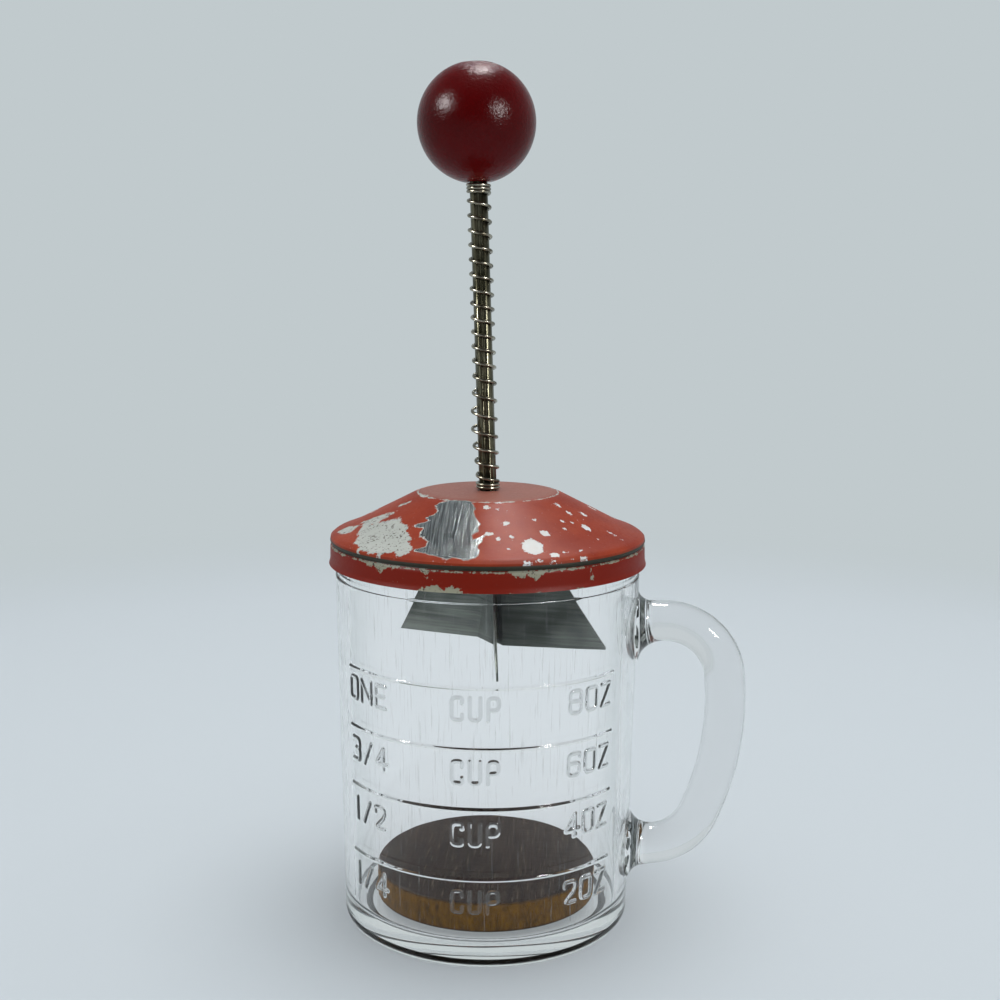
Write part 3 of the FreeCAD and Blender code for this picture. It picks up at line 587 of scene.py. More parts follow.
above_floor = add("Math", [spot.outputs["Z"], BLOOM_LOW], operation="GREATER_THAN")
inside = add("Math", [inner_wall, above_floor], operation="MULTIPLY")
bloom = add("MapRange", [streak, 0.6, 0.74, 0.0, 0.3])
washed = add("Math", [inside, bloom], operation="MULTIPLY")
# A near black ring is painted as shade in the step round the hollow of the underside, and shows as a dark
# arc.
RING_MIDDLE = 31.4 * mm
RING_HALF_WIDTH = 0.9 * mm
ring = add("Math", [reach, RING_MIDDLE, RING_HALF_WIDTH], operation="COMPARE")
underneath = add("Math", [spot.outputs["Z"], RECESS_DEPTH + 0.4 * mm], operation="LESS_THAN")
ring = add("Math", [ring, underneath], operation="MULTIPLY")
# The figures' strokes were cut by hand in the mould, so their glass is a little frosted, and they are also
# tinted grey as painted shade.
stroke = add("Attribute", attribute_name="stroke").outputs["Fac"]
frost_and_shade = add("MapRange", [stroke, 0.05, 0.45, 0.0, 0.35])
veil = add("Math", [frost_and_shade, 0.35], operation="MULTIPLY")
marked = add("Math", [washed, ring], operation="ADD")
marked = add("Math", [marked, veil], operation="MAXIMUM")
clearness = add("Math", [marked, -1.0, 1.0], operation="MULTIPLY_ADD")
# The handle, which is thick all over, has a little more of the cast.
past_wall = add("MapRange", [reach, 39.6 * mm, 43.0 * mm])
cast = add("MixRGB", [past_wall, "#FFFFFF", "#EFF0F1"])
# Towards its outlines the eye looks through more of the wall, and it greys.
outline = add("LayerWeight", {"Blend": 0.5}).outputs["Facing"]
outline = add("MapRange", [outline, 0.35, 1.0])
grey = add("MixRGB", [outline, "#FFFFFF", "#DDE2E1"])
cast = add("MixRGB", [1.0, cast, grey], blend_type="MULTIPLY")
# Painted shade: the strokes are greyed along with their frost.
cast = add("MixRGB", [frost_and_shade, cast, "#8A9090"])
# Painted shade: the ring under the foot is tinted near black and lets less light through.
cast = add("MixRGB", [ring, cast, "#1C150E"])
clear = add("BsdfPrincipled", {
    "Base Color": cast, "Roughness": 0.0, "IOR": 1.52, "Specular Tint": "#909090",
    "Transmission Weight": clearness, "Normal": wavy})
open_air = add("BsdfTransparent", {"Color": "#FCFDFC"})
path = add("LightPath")
both = add("MixShader", [path.outputs["Is Shadow Ray"], clear, open_air])
tint = add("VolumeAbsorption", {"Color": "#A8B5A6", "Density": 3.5})
add("OutputMaterial", {"Surface": both, "Volume": tint})
mug.data.materials.append(soda_glass)
# Light scattered from matt surfaces passes the glass unbent, and casts no glare on the table.
mug.visible_diffuse = False
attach(mug, "mug")
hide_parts("glass_mug")


# ------------------------------------------------------------------ chopping disc
# A turned hardwood disc that lies loose on the glass floor and takes the blades. Its edge keeps the warm
# colour of the wood. Its top is greyed by washing and scored by cuts, and is painted darker still as painted
# shadow of the cap. Its underside is painted nearly black as painted shade.
disc_low, disc_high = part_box("chopping_disc")
DISC_RADIUS = disc_high.y
DISC_EDGE = 0.7 * mm
bpy.ops.mesh.primitive_cylinder_add(vertices=160, radius=DISC_RADIUS, depth=disc_high.z - disc_low.z,
                                    location=(0, 0, (disc_low.z + disc_high.z) / 2))
disc = bpy.context.object
disc.name = "wooden_chopping_disc"
bpy.ops.object.transform_apply()
for level in (disc_low.z, disc_high.z):
    bevel_ring(disc, DISC_RADIUS, level, DISC_EDGE, 4)
bpy.ops.object.mode_set(mode="OBJECT")
bpy.ops.object.shade_smooth_by_angle(angle=math.radians(35))

hardwood, add, place = new_material("oiled_beech_turned")
# Growth rings run along Y, a little apart, and the saw has cut them lengthwise.
board = add("Mapping", {"Vector": place, "Scale": per_mm(1.1, 16, 2.6)})
grain = add("TexNoise", {"Vector": board, "Scale": 1.0, "Detail": 5.0, "Roughness": 0.62, "Distortion": 0.3})
pores = add("Mapping", {"Vector": place, "Scale": per_mm(0.28, 7, 0.5)})
pore = add("TexNoise", {"Vector": pores, "Scale": 1.0, "Detail": 2.0, "Roughness": 0.5})
warm = add("MixRGB", [add("MapRange", [grain, 0.30, 0.72]), "#483106", "#82580C"])
# The top is painted dark grey: partly wood greyed by washing, partly painted shadow of the cap.
grey = add("MixRGB", [add("MapRange", [grain, 0.28, 0.75]), "#1E1611", "#3A2E28"])
level = add("SeparateXYZ", [place])
topness = add("MapRange", [level.outputs["Z"], disc_high.z - 1.0 * mm, disc_high.z - 0.2 * mm])
wood = add("MixRGB", [topness, warm, grey])
# Painted shade: the underside is darkened nearly to black.
painted_shade_below = add("MapRange", [level.outputs["Z"], disc_low.z + 0.1 * mm, disc_low.z + 0.9 * mm, 1.0, 0.0])
wood = add("MixRGB", [painted_shade_below, wood, "#1C120B"])
dusted = add("MapRange", [pore, 0.6, 0.74])
pale_pores = add("Math", [dusted, 0.35], operation="MULTIPLY")
dusty = add("MixRGB", [pale_pores, wood, "#857566"])
# Knife marks: long thin cells of a stretched pattern, in two directions.
scores = []
for turn, length, width in ((62, 15, 1.9), (-24, 19, 2.3)):
    stroke = add("Mapping", {"Vector": place, "Rotation": (0, 0, math.radians(turn)),
                             "Scale": [*per_mm(length, width), 0]})
    cell = add("TexVoronoi", {"Vector": stroke, "Scale": 1.0}, feature="DISTANCE_TO_EDGE")
    scores.append(add("MapRange", [cell.outputs["Distance"], 0.0, 0.05]))
score = add("Math", scores, operation="MINIMUM")
scored = add("MapRange", [topness, 0.0, 1.0, 1.0, score])
relief = add("Math", [scored, pore], operation="ADD")
rough_wood = add("Bump", {"Height": relief, "Strength": 0.5, "Distance": 0.12 * mm})
surface = add("BsdfPrincipled", {
    "Base Color": dusty, "Roughness": 0.62, "Specular IOR Level": 0.06, "Normal": rough_wood})
add("OutputMaterial", {"Surface": surface})
disc.data.materials.append(hardwood)
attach(disc, "disc")
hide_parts("chopping_disc")


# ------------------------------------------------------------------ cap
# One stamping of half-millimetre tinplate, enamelled orange-red: flat crown, shallow cone,
# rounded shoulder, a crimped groove and a plain skirt with a slightly curled hem. It slips
# over the rim. The enamel has chipped away in patches down to bright tin.
CAP_SHEET = 0.5 * mm
CAP_SEGMENTS = 420
ROD_HOLE = 2.35
# Rings of the stamping from the crown's edge to the hem: radius, height and rounding in mm,
# and the steps of that rounding.
CAP_RINGS = [(17.6, 112.9, 2.2, 6), (35.0, 104.0, 2.0, 4), (39.4, 102.35, 0.5, 3), (40.4, 101.5, 0, 0),
             (40.55, 100.6, 0, 0), (40.05, 99.9, 0, 0), (40.5, 99.2, 0, 0), (40.6, 95.6, 0.4, 3),
             (40.9, 94.6, 0, 0)]
CROWN_HEIGHT = 112.9 * mm
bpy.ops.mesh.primitive_circle_add(vertices=CAP_SEGMENTS, radius=ROD_HOLE * mm,
                                  location=(0, 0, CROWN_HEIGHT))
cap = bpy.context.object
cap.name = "enamelled_cap"
bpy.ops.object.transform_apply()
bpy.ops.object.mode_set(mode="EDIT")
bpy.ops.mesh.select_all(action="SELECT")
last_radius, last_height = ROD_HOLE, CAP_RINGS[0][1]
for radius, height, _, _ in CAP_RINGS:
    extrude_ring((height - last_height) * mm, last_radius, radius)
    last_radius, last_height = radius, height
for radius, height, rounding, steps in CAP_RINGS:
    if rounding:
        bevel_ring(cap, radius * mm, height * mm, rounding * mm, steps)
# Rows close together on the cone, where the enamel's edges are, and wider on the skirt.
CONE_ROW = 0.17 * mm
SKIRT_ROW = 0.4 * mm
CRIMP_LOW = 99.6 * mm
CRIMP_HIGH = 101.4 * mm
LAST_ROW = 112.6 * mm
row = 94.8 * mm
while row < LAST_ROW:
    if not CRIMP_LOW < row < CRIMP_HIGH:
        cut_all((0, 0, row), (0, 0, 1))
    row += SKIRT_ROW if row < CRIMP_HIGH else CONE_ROW
turn_outward()
bpy.ops.object.mode_set(mode="OBJECT")
if cap.data.polygons[0].normal.z < 0:
    cap.data.flip_normals()

# Where the enamel is gone. Outlines on the crown and cone are (degrees from -Y to +X,
# distance from the axis in mm), and those on the skirt are (degrees, height in mm).
TIN_PATCHES = [
    [(-34, 20.8), (-33, 19.6), (-27, 18.3), (-14, 17.4), (-9, 18.2), (-4, 20.8), (-5.7, 21.6), (-4, 23.8),
     (0, 26.3), (-1.4, 27.4), (-0.6, 28.8), (-3.3, 30.3), (-2.6, 32.4), (2, 30.5), (1.3, 32.7),
     (-0.2, 34.1), (0.9, 36), (0, 38.5), (-3.2, 39.7), (-7.4, 38.5), (-10.2, 39.6), (-17.6, 37.9),
     (-25, 37.2), (-20.4, 35.2), (-20.8, 32.9), (-26.6, 31.8), (-28.2, 28.6), (-33, 29), (-34.4, 28.3),
     (-28, 26.2), (-32, 25.4), (-27.8, 23)],
    [(152, 24), (158, 22), (163, 23), (171, 28), (166, 30), (168, 34), (161, 33), (158, 36), (150, 31)],
    [(-118, 27), (-112, 25), (-108, 26), (-103, 30), (-108, 31), (-110, 35), (-119, 33)],
]
GROUND_PATCHES = [
    [(-49, 26.7), (-44, 28.5), (-37, 28.9), (-35.6, 30.7), (-28.5, 33.5), (-30, 34.4), (-25, 36.5),
     (-24.3, 38.4), (-28, 40), (-31, 38.2), (-35, 40.1), (-46.5, 40.2), (-54, 38.3), (-58, 36.4),
     (-65, 34.4), (-68, 32.5), (-59, 30.3), (-55, 28)],
    [(-61, 25.6), (-60.5, 27.8), (-62.5, 31.8), (-69, 32.7), (-75.5, 32.9), (-71.4, 29.8)],
    [(-72.6, 33.3), (-68.7, 35.6), (-69, 37.9), (-79, 39), (-79.6, 35.9)],
    [(-62.7, 21.3), (-62.9, 23.1), (-66.5, 24.5), (-69.5, 23.1)],
    [(-55, 17.3), (-54, 18.7), (-64, 18.8), (-67.4, 17.7)],
    [(110, 31), (121, 28), (127, 31), (133, 30), (136, 36), (124, 39), (112, 37)],
]
# Chips: degrees, distance from the axis, half width and half length down the slope, in mm.
CHIPS = [
    (21.8, 34.8, 2.8, 3.1), (13.7, 26.0, 1.0, 1.0), (10.8, 20.9, 0.4, 0.5), (16.2, 21.6, 0.3, 0.45),
    (3.5, 20.2, 1.0, 0.8), (5.9, 23.0, 0.25, 0.3), (8.7, 31.4, 0.75, 0.7), (14.7, 30.9, 0.5, 0.75),
    (12.1, 35.1, 0.4, 0.55), (30.8, 30.3, 1.3, 1.2), (28.1, 38.3, 1.2, 1.3), (32.6, 37.6, 1.1, 0.6),
    (30.4, 25.3, 0.5, 0.4), (38.2, 23.1, 0.25, 0.3), (47.0, 27.0, 0.9, 0.8), (51.5, 27.9, 0.5, 0.5),
    (43.1, 29.4, 0.4, 0.5), (58.6, 24.5, 0.8, 0.9), (58.8, 21.4, 0.7, 1.1), (69.5, 26.4, 0.8, 1.3),
    (62.3, 27.9, 0.4, 0.5), (56.7, 30.3, 1.2, 1.4), (67.5, 34.7, 0.7, 1.2), (54.3, 34.6, 0.5, 0.5),
    (66.8, 37.3, 0.4, 0.5), (39.8, 37.7, 0.7, 0.5), (44.7, 37.0, 0.2, 0.2), (13.0, 18.4, 0.8, 0.3),
    (4.0, 29.7, 1.1, 0.7), (21.7, 40.0, 0.9, 0.5), (17.4, 40.3, 1.1, 0.5), (27.0, 40.1, 1.2, 0.4),
    (38.5, 40.2, 1.3, 0.5), (96, 27, 1.2, 1.5), (101, 33, 0.5, 1.4), (142, 22, 0.9, 0.9),
    (-150, 30, 1.5, 1.8), (-146, 26, 0.5, 0.5), (-138, 37, 1.0, 1.0), (-165, 24, 0.8, 0.9),
    (178, 36, 1.4, 1.2), (-92, 30, 0.6, 2.0), (-97, 24, 0.5, 1.4),
]
SKIRT_PATCHES = [
    [(-46, 99.7), (-40, 98.7), (-36.4, 98.4), (-34.4, 96.9), (-33, 98.9), (-28, 99.2), (-27, 99.7)],
    [(-19, 99.7), (-17.6, 98.5), (-16.6, 97.3), (-15.6, 99.7)],
    [(11, 99.7), (13.2, 98.9), (14, 97.7), (15, 98.8), (16, 97.4), (17.6, 98.8), (20.2, 97.4),
     (21.4, 98.8), (24, 99.0), (31, 99.7)],
    [(41.1, 98.8), (41.6, 98.8), (42.2, 96.4), (41.8, 96.4)],
    [(-19.5, 94.2), (-18, 95.5), (-14, 95.9), (-10.5, 95.4), (-8, 95.9), (-4.4, 95.1), (-3.6, 94.2)],
    [(128, 99.7), (139, 97.2), (150, 98.2), (158, 99.7)],
    [(-128, 94.2), (-121, 95.9), (-110, 95.6), (-104, 94.2)],
]


def on_plan(degrees, reach):
    """Plan position in mm of a place on the cap, given by its direction and reach."""
    turn = math.radians(degrees)
    return Vector((math.sin(turn), -math.cos(turn))) * reach


def outline_distance(point, outline):
    """Distance in mm from a closed outline: negative inside it."""
    inside = False
    for start, end in zip(outline, outline[1:] + outline[:1]):
        if (start.y > point.y) != (end.y > point.y):
            if point.x < start.x + (end.x - start.x) * (point.y - start.y) / (end.y - start.y):
                inside = not inside
    nearest = min(run_distance(point, *run) for run in zip(outline, outline[1:] + outline[:1]))
    return -nearest if inside else nearest


def chip_distance(point, chip):
    """Rough distance in mm from a small oval chip: negative inside it."""
    degrees, reach, half_width, half_length = chip
    down = on_plan(degrees, 1.0)
    away = point - down * reach
    across = Vector((down.y, -down.x)).dot(away) / half_width
    along = down.dot(away) / half_length
    return (math.hypot(across, along) - 1) * min(half_width, half_length)


def near(point, outlines, slack=2.0):
    """Those of the outlines whose box, with some slack, holds the point."""
    return [outline for outline in outlines
            if min(p.x for p in outline) - slack < point.x < max(p.x for p in outline) + slack
            and min(p.y for p in outline) - slack < point.y < max(p.y for p in outline) + slack]


SKIRT_MM_PER_DEGREE = 40.6 * math.pi / 180
FAR_AWAY = 2.0
tin_outlines = [[on_plan(*place) for place in patch] for patch in TIN_PATCHES]
ground_outlines = [[on_plan(*place) for place in patch] for patch in GROUND_PATCHES]
skirt_outlines = [[Vector((degrees * SKIRT_MM_PER_DEGREE, height)) for degrees, height in patch]
                  for patch in SKIRT_PATCHES]
tin_field, ground_field, chip_field = [cap.data.attributes.new(name, "FLOAT", "POINT") for name in
                                       ("tin_distance", "ground_distance", "chip_distance")]
SKIRT_TOP = 100.5 * mm
for vertex in cap.data.vertices:
    tin, ground, chip = [FAR_AWAY], [FAR_AWAY], [FAR_AWAY]
    if vertex.co.z > SKIRT_TOP:
        spot = vertex.co.xy / mm
        tin += [outline_distance(spot, outline) for outline in near(spot, tin_outlines)]
        ground += [outline_distance(spot, outline) for outline in near(spot, ground_outlines)]
        chip += [chip_distance(spot, place) for place in CHIPS]
    else:
        degrees = math.degrees(direction_of(vertex.co))
        spot = Vector((degrees * SKIRT_MM_PER_DEGREE, vertex.co.z / mm))
        ground += [outline_distance(spot, outline) for outline in near(spot, skirt_outlines)]
    tin_field.data[vertex.index].value = min(tin)
    ground_field.data[vertex.index].value = min(ground)
    chip_field.data[vertex.index].value = min(chip)

wall = cap.modifiers.new("sheet", "SOLIDIFY")
wall.thickness = CAP_SHEET
wall.offset = -1
wall.use_rim = True
bpy.ops.object.modifier_apply(modifier=wall.name)
bpy.ops.object.shade_smooth_by_angle(angle=math.radians(40))

# Stoved enamel over tinplate: a soft gloss that has gone chalky. The ground coat that is left
# in places is a dull pale grey, the freshest chips are nearly white, and bare tin is
# blue-grey metal with slanted scratches and a thin pale lip of ground coat round it.
enamel, add, place = new_material("stoved_enamel_on_tinplate")
clouds, coarse, fine, grit, pit = [
    add("TexNoise", {"Vector": place, "Scale": 1 / (size * mm), "Detail": detail, "Roughness": 0.6})
    for size, detail in ((9.0, 3.0), (2.6, 6.0), (0.7, 4.0), (0.45, 2.0), (0.55, 1.0))]

# The distance in mm to the edge of each kind of bare place is frayed by the noise, and turned
# into a share that is 1 inside the edge and 0 outside.
bare = {}
for kind, field, fine_fray, coarse_fray, beyond in (
        ("tin", "tin_distance", 1.3, 1.2, 0.0), ("ground", "ground_distance", 2.2, 3.2, 0.0),
        ("chip", "chip_distance", 2.0, 1.4, -0.15), ("lip", "tin_distance", 1.3, 1.2, 0.17)):
    frayed = add("Attribute", attribute_name=field).outputs["Fac"]
    for noise, fray in ((fine, fine_fray), (coarse, coarse_fray)):
        frayed = add("Math", [noise, fray, frayed], operation="MULTIPLY_ADD")
    edge = (fine_fray + coarse_fray) / 2 + beyond
    bare[kind] = add("MapRange", [frayed, edge - 0.06, edge + 0.06, 1.0, 0.0])

# The enamel is rubbed through along the crown's edge, the shoulder, under the bead and along
# the hem, and here and there down to a speck.
where = add("SeparateXYZ", [place])
plan = add("CombineXYZ", [where.outputs["X"], where.outputs["Y"]])
reach = add("VectorMath", [plan], operation="LENGTH").outputs["Value"]
height = where.outputs["Z"]
ragged = add("Math", [fine, 0.3, coarse], operation="MULTIPLY_ADD")
pale = add("MapRange", [grit, 0.735, 0.76])
for source, centre, ease in ((reach, 18.1, 1.17), (height, 101.7, 1.67), (height, 99.45, 1.27),
                             (height, 94.7, 1.62)):
    off = add("Math", [source, centre * mm], operation="SUBTRACT")
    off = add("Math", [off], operation="ABSOLUTE")
    width = add("Math", [ragged, 2.1 * mm, -ease * mm], operation="MULTIPLY_ADD")
    spare = add("Math", [width, off], operation="SUBTRACT")
    band = add("MapRange", [spare, 0.0, 0.07 * mm])
    pale = add("Math", [pale, band], operation="MAXIMUM")
for kind in ("ground", "lip"):
    pale = add("Math", [pale, bare[kind]], operation="MAXIMUM")

# Each layer of colour lies over the one before: clouded enamel, painted a darker, deeper red on the skirt as
# painted shade, rubbed flecks, the flat crown, which has been handled most and is dull and greyish and is
# also painted paler as painted sheen, ground coat with rusty pits, fresh chips, tin, and the crimped bead
# under the shoulder, which is bare and has darkened.
cloudy = add("MapRange", [clouds, 0.34, 0.66])
flecks = add("MapRange", [fine, 0.6, 0.72, 0.0, 0.35])
# The crown is painted paler: partly handling wear, partly painted sheen from the light above.
crown = add("MapRange", [reach, 17.2 * mm, 18.4 * mm, 0.6, 0.0])
on_skirt = add("MapRange", [height, 99.6 * mm, 100.4 * mm, 1.0, 0.0])
pit_spot = add("MapRange", [pit, 0.58, 0.63])
pit_zone = add("MapRange", [coarse, 0.42, 0.52])
pits = add("Math", [pit_spot, pit_zone], operation="MULTIPLY")
colour = add("MixRGB", [cloudy, "#902C10", "#A03A1A"])
# Painted shade: the upright skirt is a darker, deeper red than the cone.
colour = add("MixRGB", [on_skirt, colour, "#8A1A00"])
chipped = add("MixRGB", [cloudy, "#E2E5E8", "#D3D0CA"])
ground = add("MixRGB", [clouds, "#ABAFA8", "#C6C8C2"])
ground = add("MixRGB", [on_skirt, ground, "#A9A58F"])
ground = add("MixRGB", [pits, ground, "#50453C"])
SCRATCH_SLANT = math.radians(-32)
scratch_way = add("Mapping", {"Vector": place, "Rotation": (0, 0, SCRATCH_SLANT),
                              "Scale": per_mm(0.3, 8, 8)})
scratch = add("TexNoise", {"Vector": scratch_way, "Scale": 1.0, "Detail": 4.0})
bright = add("MapRange", [scratch, 0.32, 0.7])
stained = add("MapRange", [coarse, 0.55, 0.66, 0.0, 0.6])
tin = add("MixRGB", [bright, "#5A6166", "#D2D5D4"])
tin = add("MixRGB", [stained, tin, "#9A9C92"])
bead_start = add("MapRange", [height, 99.7 * mm, 99.85 * mm])
bead_end = add("MapRange", [height, 100.9 * mm, 101.05 * mm, 1.0, 0.0])
bead = add("Math", [bead_start, bead_end], operation="MULTIPLY")
for share, over in ((flecks, "#7A2212"), (crown, "#9C7468"), (pale, ground),
                    (bare["chip"], chipped), (bare["tin"], tin), (bead, "#3B3A30")):
    colour = add("MixRGB", [share, colour, over])

no_bead = add("Math", [bead, -1.0, 1.0], operation="MULTIPLY_ADD")
metal = add("Math", [bare["tin"], no_bead], operation="MULTIPLY")
chalky = add("MapRange", [fine, 0.3, 0.7, 0.4, 0.52])
rough = add("MapRange", [bare["tin"], 0.0, 1.0, chalky, 0.27])
stripped = add("Math", [bare["tin"], bare["chip"]], operation="MAXIMUM")
film = add("Math", [fine, 0.22, 1.0], operation="MULTIPLY_ADD")
film = add("Math", [film, stripped], operation="SUBTRACT")
brushed = add("Math", [scratch, bare["tin"]], operation="MULTIPLY")
relief = add("Math", [brushed, 0.45, film], operation="MULTIPLY_ADD")
layers = add("Bump", {"Height": relief, "Strength": 0.55, "Distance": 0.1 * mm})
surface = add("BsdfPrincipled", {
    "Base Color": colour, "Metallic": metal, "Roughness": rough, "Specular IOR Level": 0.13,
    "Normal": layers})
add("OutputMaterial", {"Surface": surface})
cap.data.materials.append(enamel)
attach(cap, "cap")
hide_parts("cap_shell")


# ------------------------------------------------------------------ plunger rod, washer and pin
# A drawn steel rod, dull nickel plated, that slides in the cap's crown. Its lower end is
# milled to a flat tang, and a washer on a cross pin stops it under the crown.
LEAN = math.radians(-2.07)
WELD_GAP = 0.002 * mm
upright_to_lean = Matrix.Translation((0, 0, CROWN_HEIGHT)) @ Matrix.Rotation(LEAN, 4, "Y")


def copy_of_node(node, name, material, smooth_degrees):
    """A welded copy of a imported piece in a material, with smooth shading on its round faces."""
    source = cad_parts[node]
    copy = source.copy()
    copy.data = source.data.copy()
    for key in list(copy.keys()):
        del copy[key]
    copy.parent = None
    copy.name = name
    scene.collection.objects.link(copy)
    make_active(copy)
    bpy.ops.object.mode_set(mode="EDIT")
    bpy.ops.mesh.select_all(action="SELECT")
    bpy.ops.mesh.remove_doubles(threshold=WELD_GAP)
    bpy.ops.object.mode_set(mode="OBJECT")
    bpy.ops.object.shade_smooth_by_angle(angle=math.radians(smooth_degrees))
    copy.data.materials.clear()
    copy.data.materials.append(material)
    return copy


nickel, add, place = new_material("dull_nickel_plate")
stain = add("TexNoise", {"Vector": place, "Scale": 1 / (5 * mm), "Detail": 5.0, "Roughness": 0.65})
plate = add("MixRGB", [add("MapRange", [stain, 0.32, 0.66]), "#403E2F", "#6E6B5A"])
draw_way = add("Mapping", {"Vector": place, "Scale": per_mm(0.12, 0.12, 6)})
drawn = add("TexNoise", {"Vector": draw_way, "Scale": 1.0, "Detail": 2.0})
drawn_lines = add("Bump", {"Height": drawn, "Strength": 0.25, "Distance": 0.03 * mm})
tarnish = add("MapRange", [stain, 0.0, 1.0, 0.36, 0.24])
surface = add("BsdfPrincipled", {
    "Base Color": plate, "Metallic": 1.0, "Roughness": tarnish, "Normal": drawn_lines})
add("OutputMaterial", {"Surface": surface})
for node, name in (("plunger_rod", "nickel_plunger_rod"), ("stop_washer", "nickel_stop_washer"),
                   ("stop_pin", "nickel_stop_pin")):
    piece = copy_of_node(node, name, nickel, 35)
    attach(piece, "plunger")
    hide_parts(node)


# ------------------------------------------------------------------ return spring
# A left-hand compression spring of bright drawn wire round the rod. Its ends are closed
# turns. The lowest open turns have been stretched and stand off the rod on one side.
WIRE_RADIUS = 0.4 * mm
COIL_RADIUS = 2.77 * mm
SPRING_LENGTH = 77.6 * mm
SPRING_END_GAP = 0.2 * mm
TURNS_ON_CAP = 2.0
OPEN_TURNS = 19.0
TURNS_UNDER_KNOB = 2.5
CLOSED_PITCH = 0.82 * mm
POINTS_PER_TURN = 18
STRETCH_LOW = 3.0 * mm
STRETCH_HIGH = 31.0 * mm
STRETCH_PITCH = 0.30
STRETCH_RADIUS = 0.42 * mm
STRETCH_SHIFT = 0.42 * mm


def stretched(height):
    """Share, from 0 to 1, to which the spring is pulled out of shape at a height."""
    share = (height - STRETCH_LOW) / (STRETCH_HIGH - STRETCH_LOW)
    return math.sin(math.pi * share) ** 2 if 0 < share < 1 else 0.0


total_turns = TURNS_ON_CAP + OPEN_TURNS + TURNS_UNDER_KNOB
steps = int(total_turns * POINTS_PER_TURN)
open_length = SPRING_LENGTH - 2 * (SPRING_END_GAP + WIRE_RADIUS)
open_length -= CLOSED_PITCH * (TURNS_ON_CAP + TURNS_UNDER_KNOB)
heights = [0.0]
for step in range(steps):
    turn = step / POINTS_PER_TURN
    closed = turn < TURNS_ON_CAP or turn >= TURNS_ON_CAP + OPEN_TURNS
    even_height = (turn - TURNS_ON_CAP) / OPEN_TURNS * open_length
    rise = 0.0 if closed else 1 + STRETCH_PITCH * stretched(even_height)
    heights.append(heights[-1] + rise)
open_scale = open_length / heights[-1]
bpy.ops.curve.primitive_nurbs_path_add()
spring = bpy.context.object
spring.name = "wire_return_spring"
line = spring.data.splines[0]
line.points.add(steps + 1 - len(line.points))
for step, point in enumerate(line.points):
    turn = step / POINTS_PER_TURN
    closed_turns = min(turn, TURNS_ON_CAP) + max(turn - TURNS_ON_CAP - OPEN_TURNS, 0)
    height = SPRING_END_GAP + WIRE_RADIUS + closed_turns * CLOSED_PITCH + heights[step] * open_scale
    loose = stretched(height)
    radius = COIL_RADIUS + STRETCH_RADIUS * loose
    around = -2 * math.pi * turn
    spot = Vector((radius * math.cos(around) - STRETCH_SHIFT * loose, radius * math.sin(around), height))
    point.co = (*(upright_to_lean @ spot), 1.0)
line.order_u = 4
line.use_endpoint_u = True
spring.data.resolution_u = 3
spring.data.bevel_depth = WIRE_RADIUS
spring.data.bevel_resolution = 3
spring.data.use_fill_caps = True
bpy.ops.object.convert(target="MESH")
bpy.ops.object.shade_smooth_by_angle(angle=math.radians(45))
wire, add, place = new_material("bright_drawn_wire")
dull = add("TexNoise", {"Vector": place, "Scale": 1 / (2.5 * mm), "Detail": 4.0})
steel = add("MixRGB", [add("MapRange", [dull, 0.35, 0.65]), "#5E594C", "#A8A495"])
surface = add("BsdfPrincipled", {"Base Color": steel, "Metallic": 1.0, "Roughness": 0.28})
add("OutputMaterial", {"Surface": surface})
spring.data.materials.append(wire)
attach(spring, "spring")
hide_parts("return_spring")
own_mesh(spring)


# ------------------------------------------------------------------ ball knob
# A turned hardwood ball under dark red lacquer, driven onto the rod. The lacquer is glossy, and its top is
# rubbed and slightly flattened by the palm. The rubbed top is painted a paler pink, partly worn lacquer and
# partly painted highlight.
KNOB_RADIUS = 14.8 * mm
KNOB_FOOT = SPRING_LENGTH
KNOB_EDGE = 0.7 * mm
KNOB_CENTRE = KNOB_FOOT + KNOB_RADIUS * math.sin(math.radians(76))
KNOB_TOP = KNOB_RADIUS * math.sin(math.radians(74.1))
bpy.ops.mesh.primitive_uv_sphere_add(segments=128, ring_count=64, radius=KNOB_RADIUS)
knob = bpy.context.object
knob.name = "lacquered_ball_knob"
bpy.ops.object.mode_set(mode="EDIT")
for level, side in ((KNOB_TOP, 1), (KNOB_FOOT - KNOB_CENTRE, -1)):
    cut_all((0, 0, level), (0, 0, side), use_fill=True, clear_outer=True)
    select_parts(knob, "FACE", lambda face: abs(face.center.z - level) < 0.001 * mm)
    bpy.ops.mesh.bevel(offset=KNOB_EDGE, segments=5, affect="EDGES")
turn_outward()
bpy.ops.object.mode_set(mode="OBJECT")
knob.data.transform(upright_to_lean @ Matrix.Translation((0, 0, KNOB_CENTRE)))
bpy.ops.object.shade_smooth_by_angle(angle=math.radians(30))
lacquer, add, place = new_material("red_lacquer_on_beech")
knob_middle = upright_to_lean @ Vector((0, 0, KNOB_CENTRE))
centred = add("Mapping", {"Vector": place, "Location": tuple(-knob_middle)})
up = add("SeparateXYZ", [centred])
cloud = add("TexNoise", {"Vector": place, "Scale": 1 / (9 * mm), "Detail": 3.0})
# Fine brush marks and dust in the lacquer break up its highlights.
mottle = add("TexNoise", {"Vector": place, "Scale": 1 / (0.8 * mm), "Detail": 3.0, "Roughness": 0.6})
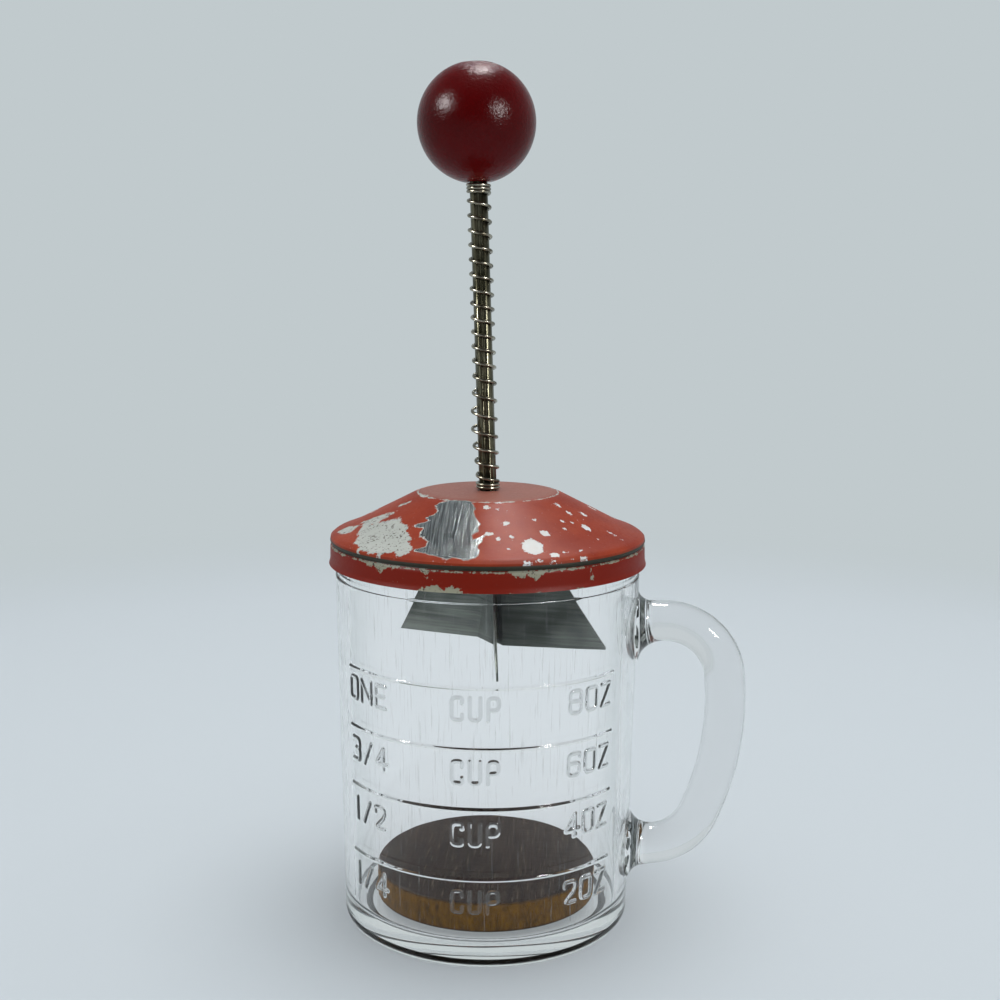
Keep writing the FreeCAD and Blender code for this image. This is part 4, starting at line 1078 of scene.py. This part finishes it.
# Slanted scratches from the palm cross the top.
rub_way = add("Mapping", {"Vector": centred, "Rotation": (0, 0, math.radians(38)),
                          "Scale": per_mm(2.4, 0.45, 2.4)})
rub = add("TexNoise", {"Vector": rub_way, "Scale": 1.0, "Detail": 4.0, "Roughness": 0.6})
near_top = add("MapRange", [up.outputs["Z"], 9.6 * mm, 13.2 * mm], interpolation_type="SMOOTHSTEP")
rubbed_top = add("Math", [near_top, rub], operation="MULTIPLY")
# Painted highlight and wear: the rubbed top is tinted a paler pink.
worn_and_highlight = add("MapRange", [rubbed_top, 0.42, 0.64, 0.0, 0.6])
deep = add("MixRGB", [cloud, "#4B0104", "#620405"])
red = add("MixRGB", [worn_and_highlight, deep, "#6E3440"])
gloss = add("MapRange", [near_top, 0.0, 1.0, 0.21, 0.24])
either_way = add("Math", [rub, 0.5], operation="SUBTRACT")
scratched = add("Math", [either_way, near_top], operation="MULTIPLY")
skin = add("Math", [scratched, 2.6, mottle], operation="MULTIPLY_ADD")
orange_peel = add("Bump", {"Height": skin, "Strength": 0.8, "Distance": 0.17 * mm})
surface = add("BsdfPrincipled", {
    "Base Color": red, "Roughness": gloss, "Specular IOR Level": 0.12, "Normal": orange_peel})
add("OutputMaterial", {"Surface": surface})
knob.data.materials.append(lacquer)
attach(knob, "plunger")
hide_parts("ball_knob")


# ------------------------------------------------------------------ blades
# Two sheets of half-millimetre stainless steel, spot welded back to back on the rod's tang
# and bent by hand into four blades. Their rolled finish has gone dull in the kitchen.
rolled, add, place = new_material("rolled_stainless_sheet")
roll_way = add("Mapping", {"Vector": place, "Scale": per_mm(24, 24, 0.7)})
roll = add("TexNoise", {"Vector": roll_way, "Scale": 1.0, "Detail": 4.0})
bloom = add("TexNoise", {"Vector": place, "Scale": 1 / (11 * mm), "Detail": 2.0})
mottle = add("Math", [roll, bloom], operation="MULTIPLY")
sheet_colour = add("MixRGB", [add("MapRange", [mottle, 0.14, 0.38]), "#424642", "#727772"])
roll_lines = add("Bump", {"Height": roll, "Strength": 0.3, "Distance": 0.04 * mm})
surface = add("BsdfPrincipled", {
    "Base Color": sheet_colour, "Metallic": 1.0, "Roughness": 0.36, "Normal": roll_lines})
add("OutputMaterial", {"Surface": surface})
for node, name in (("front_blade_sheet", "front_steel_blades"), ("rear_blade_sheet", "rear_steel_blades")):
    piece = copy_of_node(node, name, rolled, 20)
    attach(piece, "plunger")
    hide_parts(node)
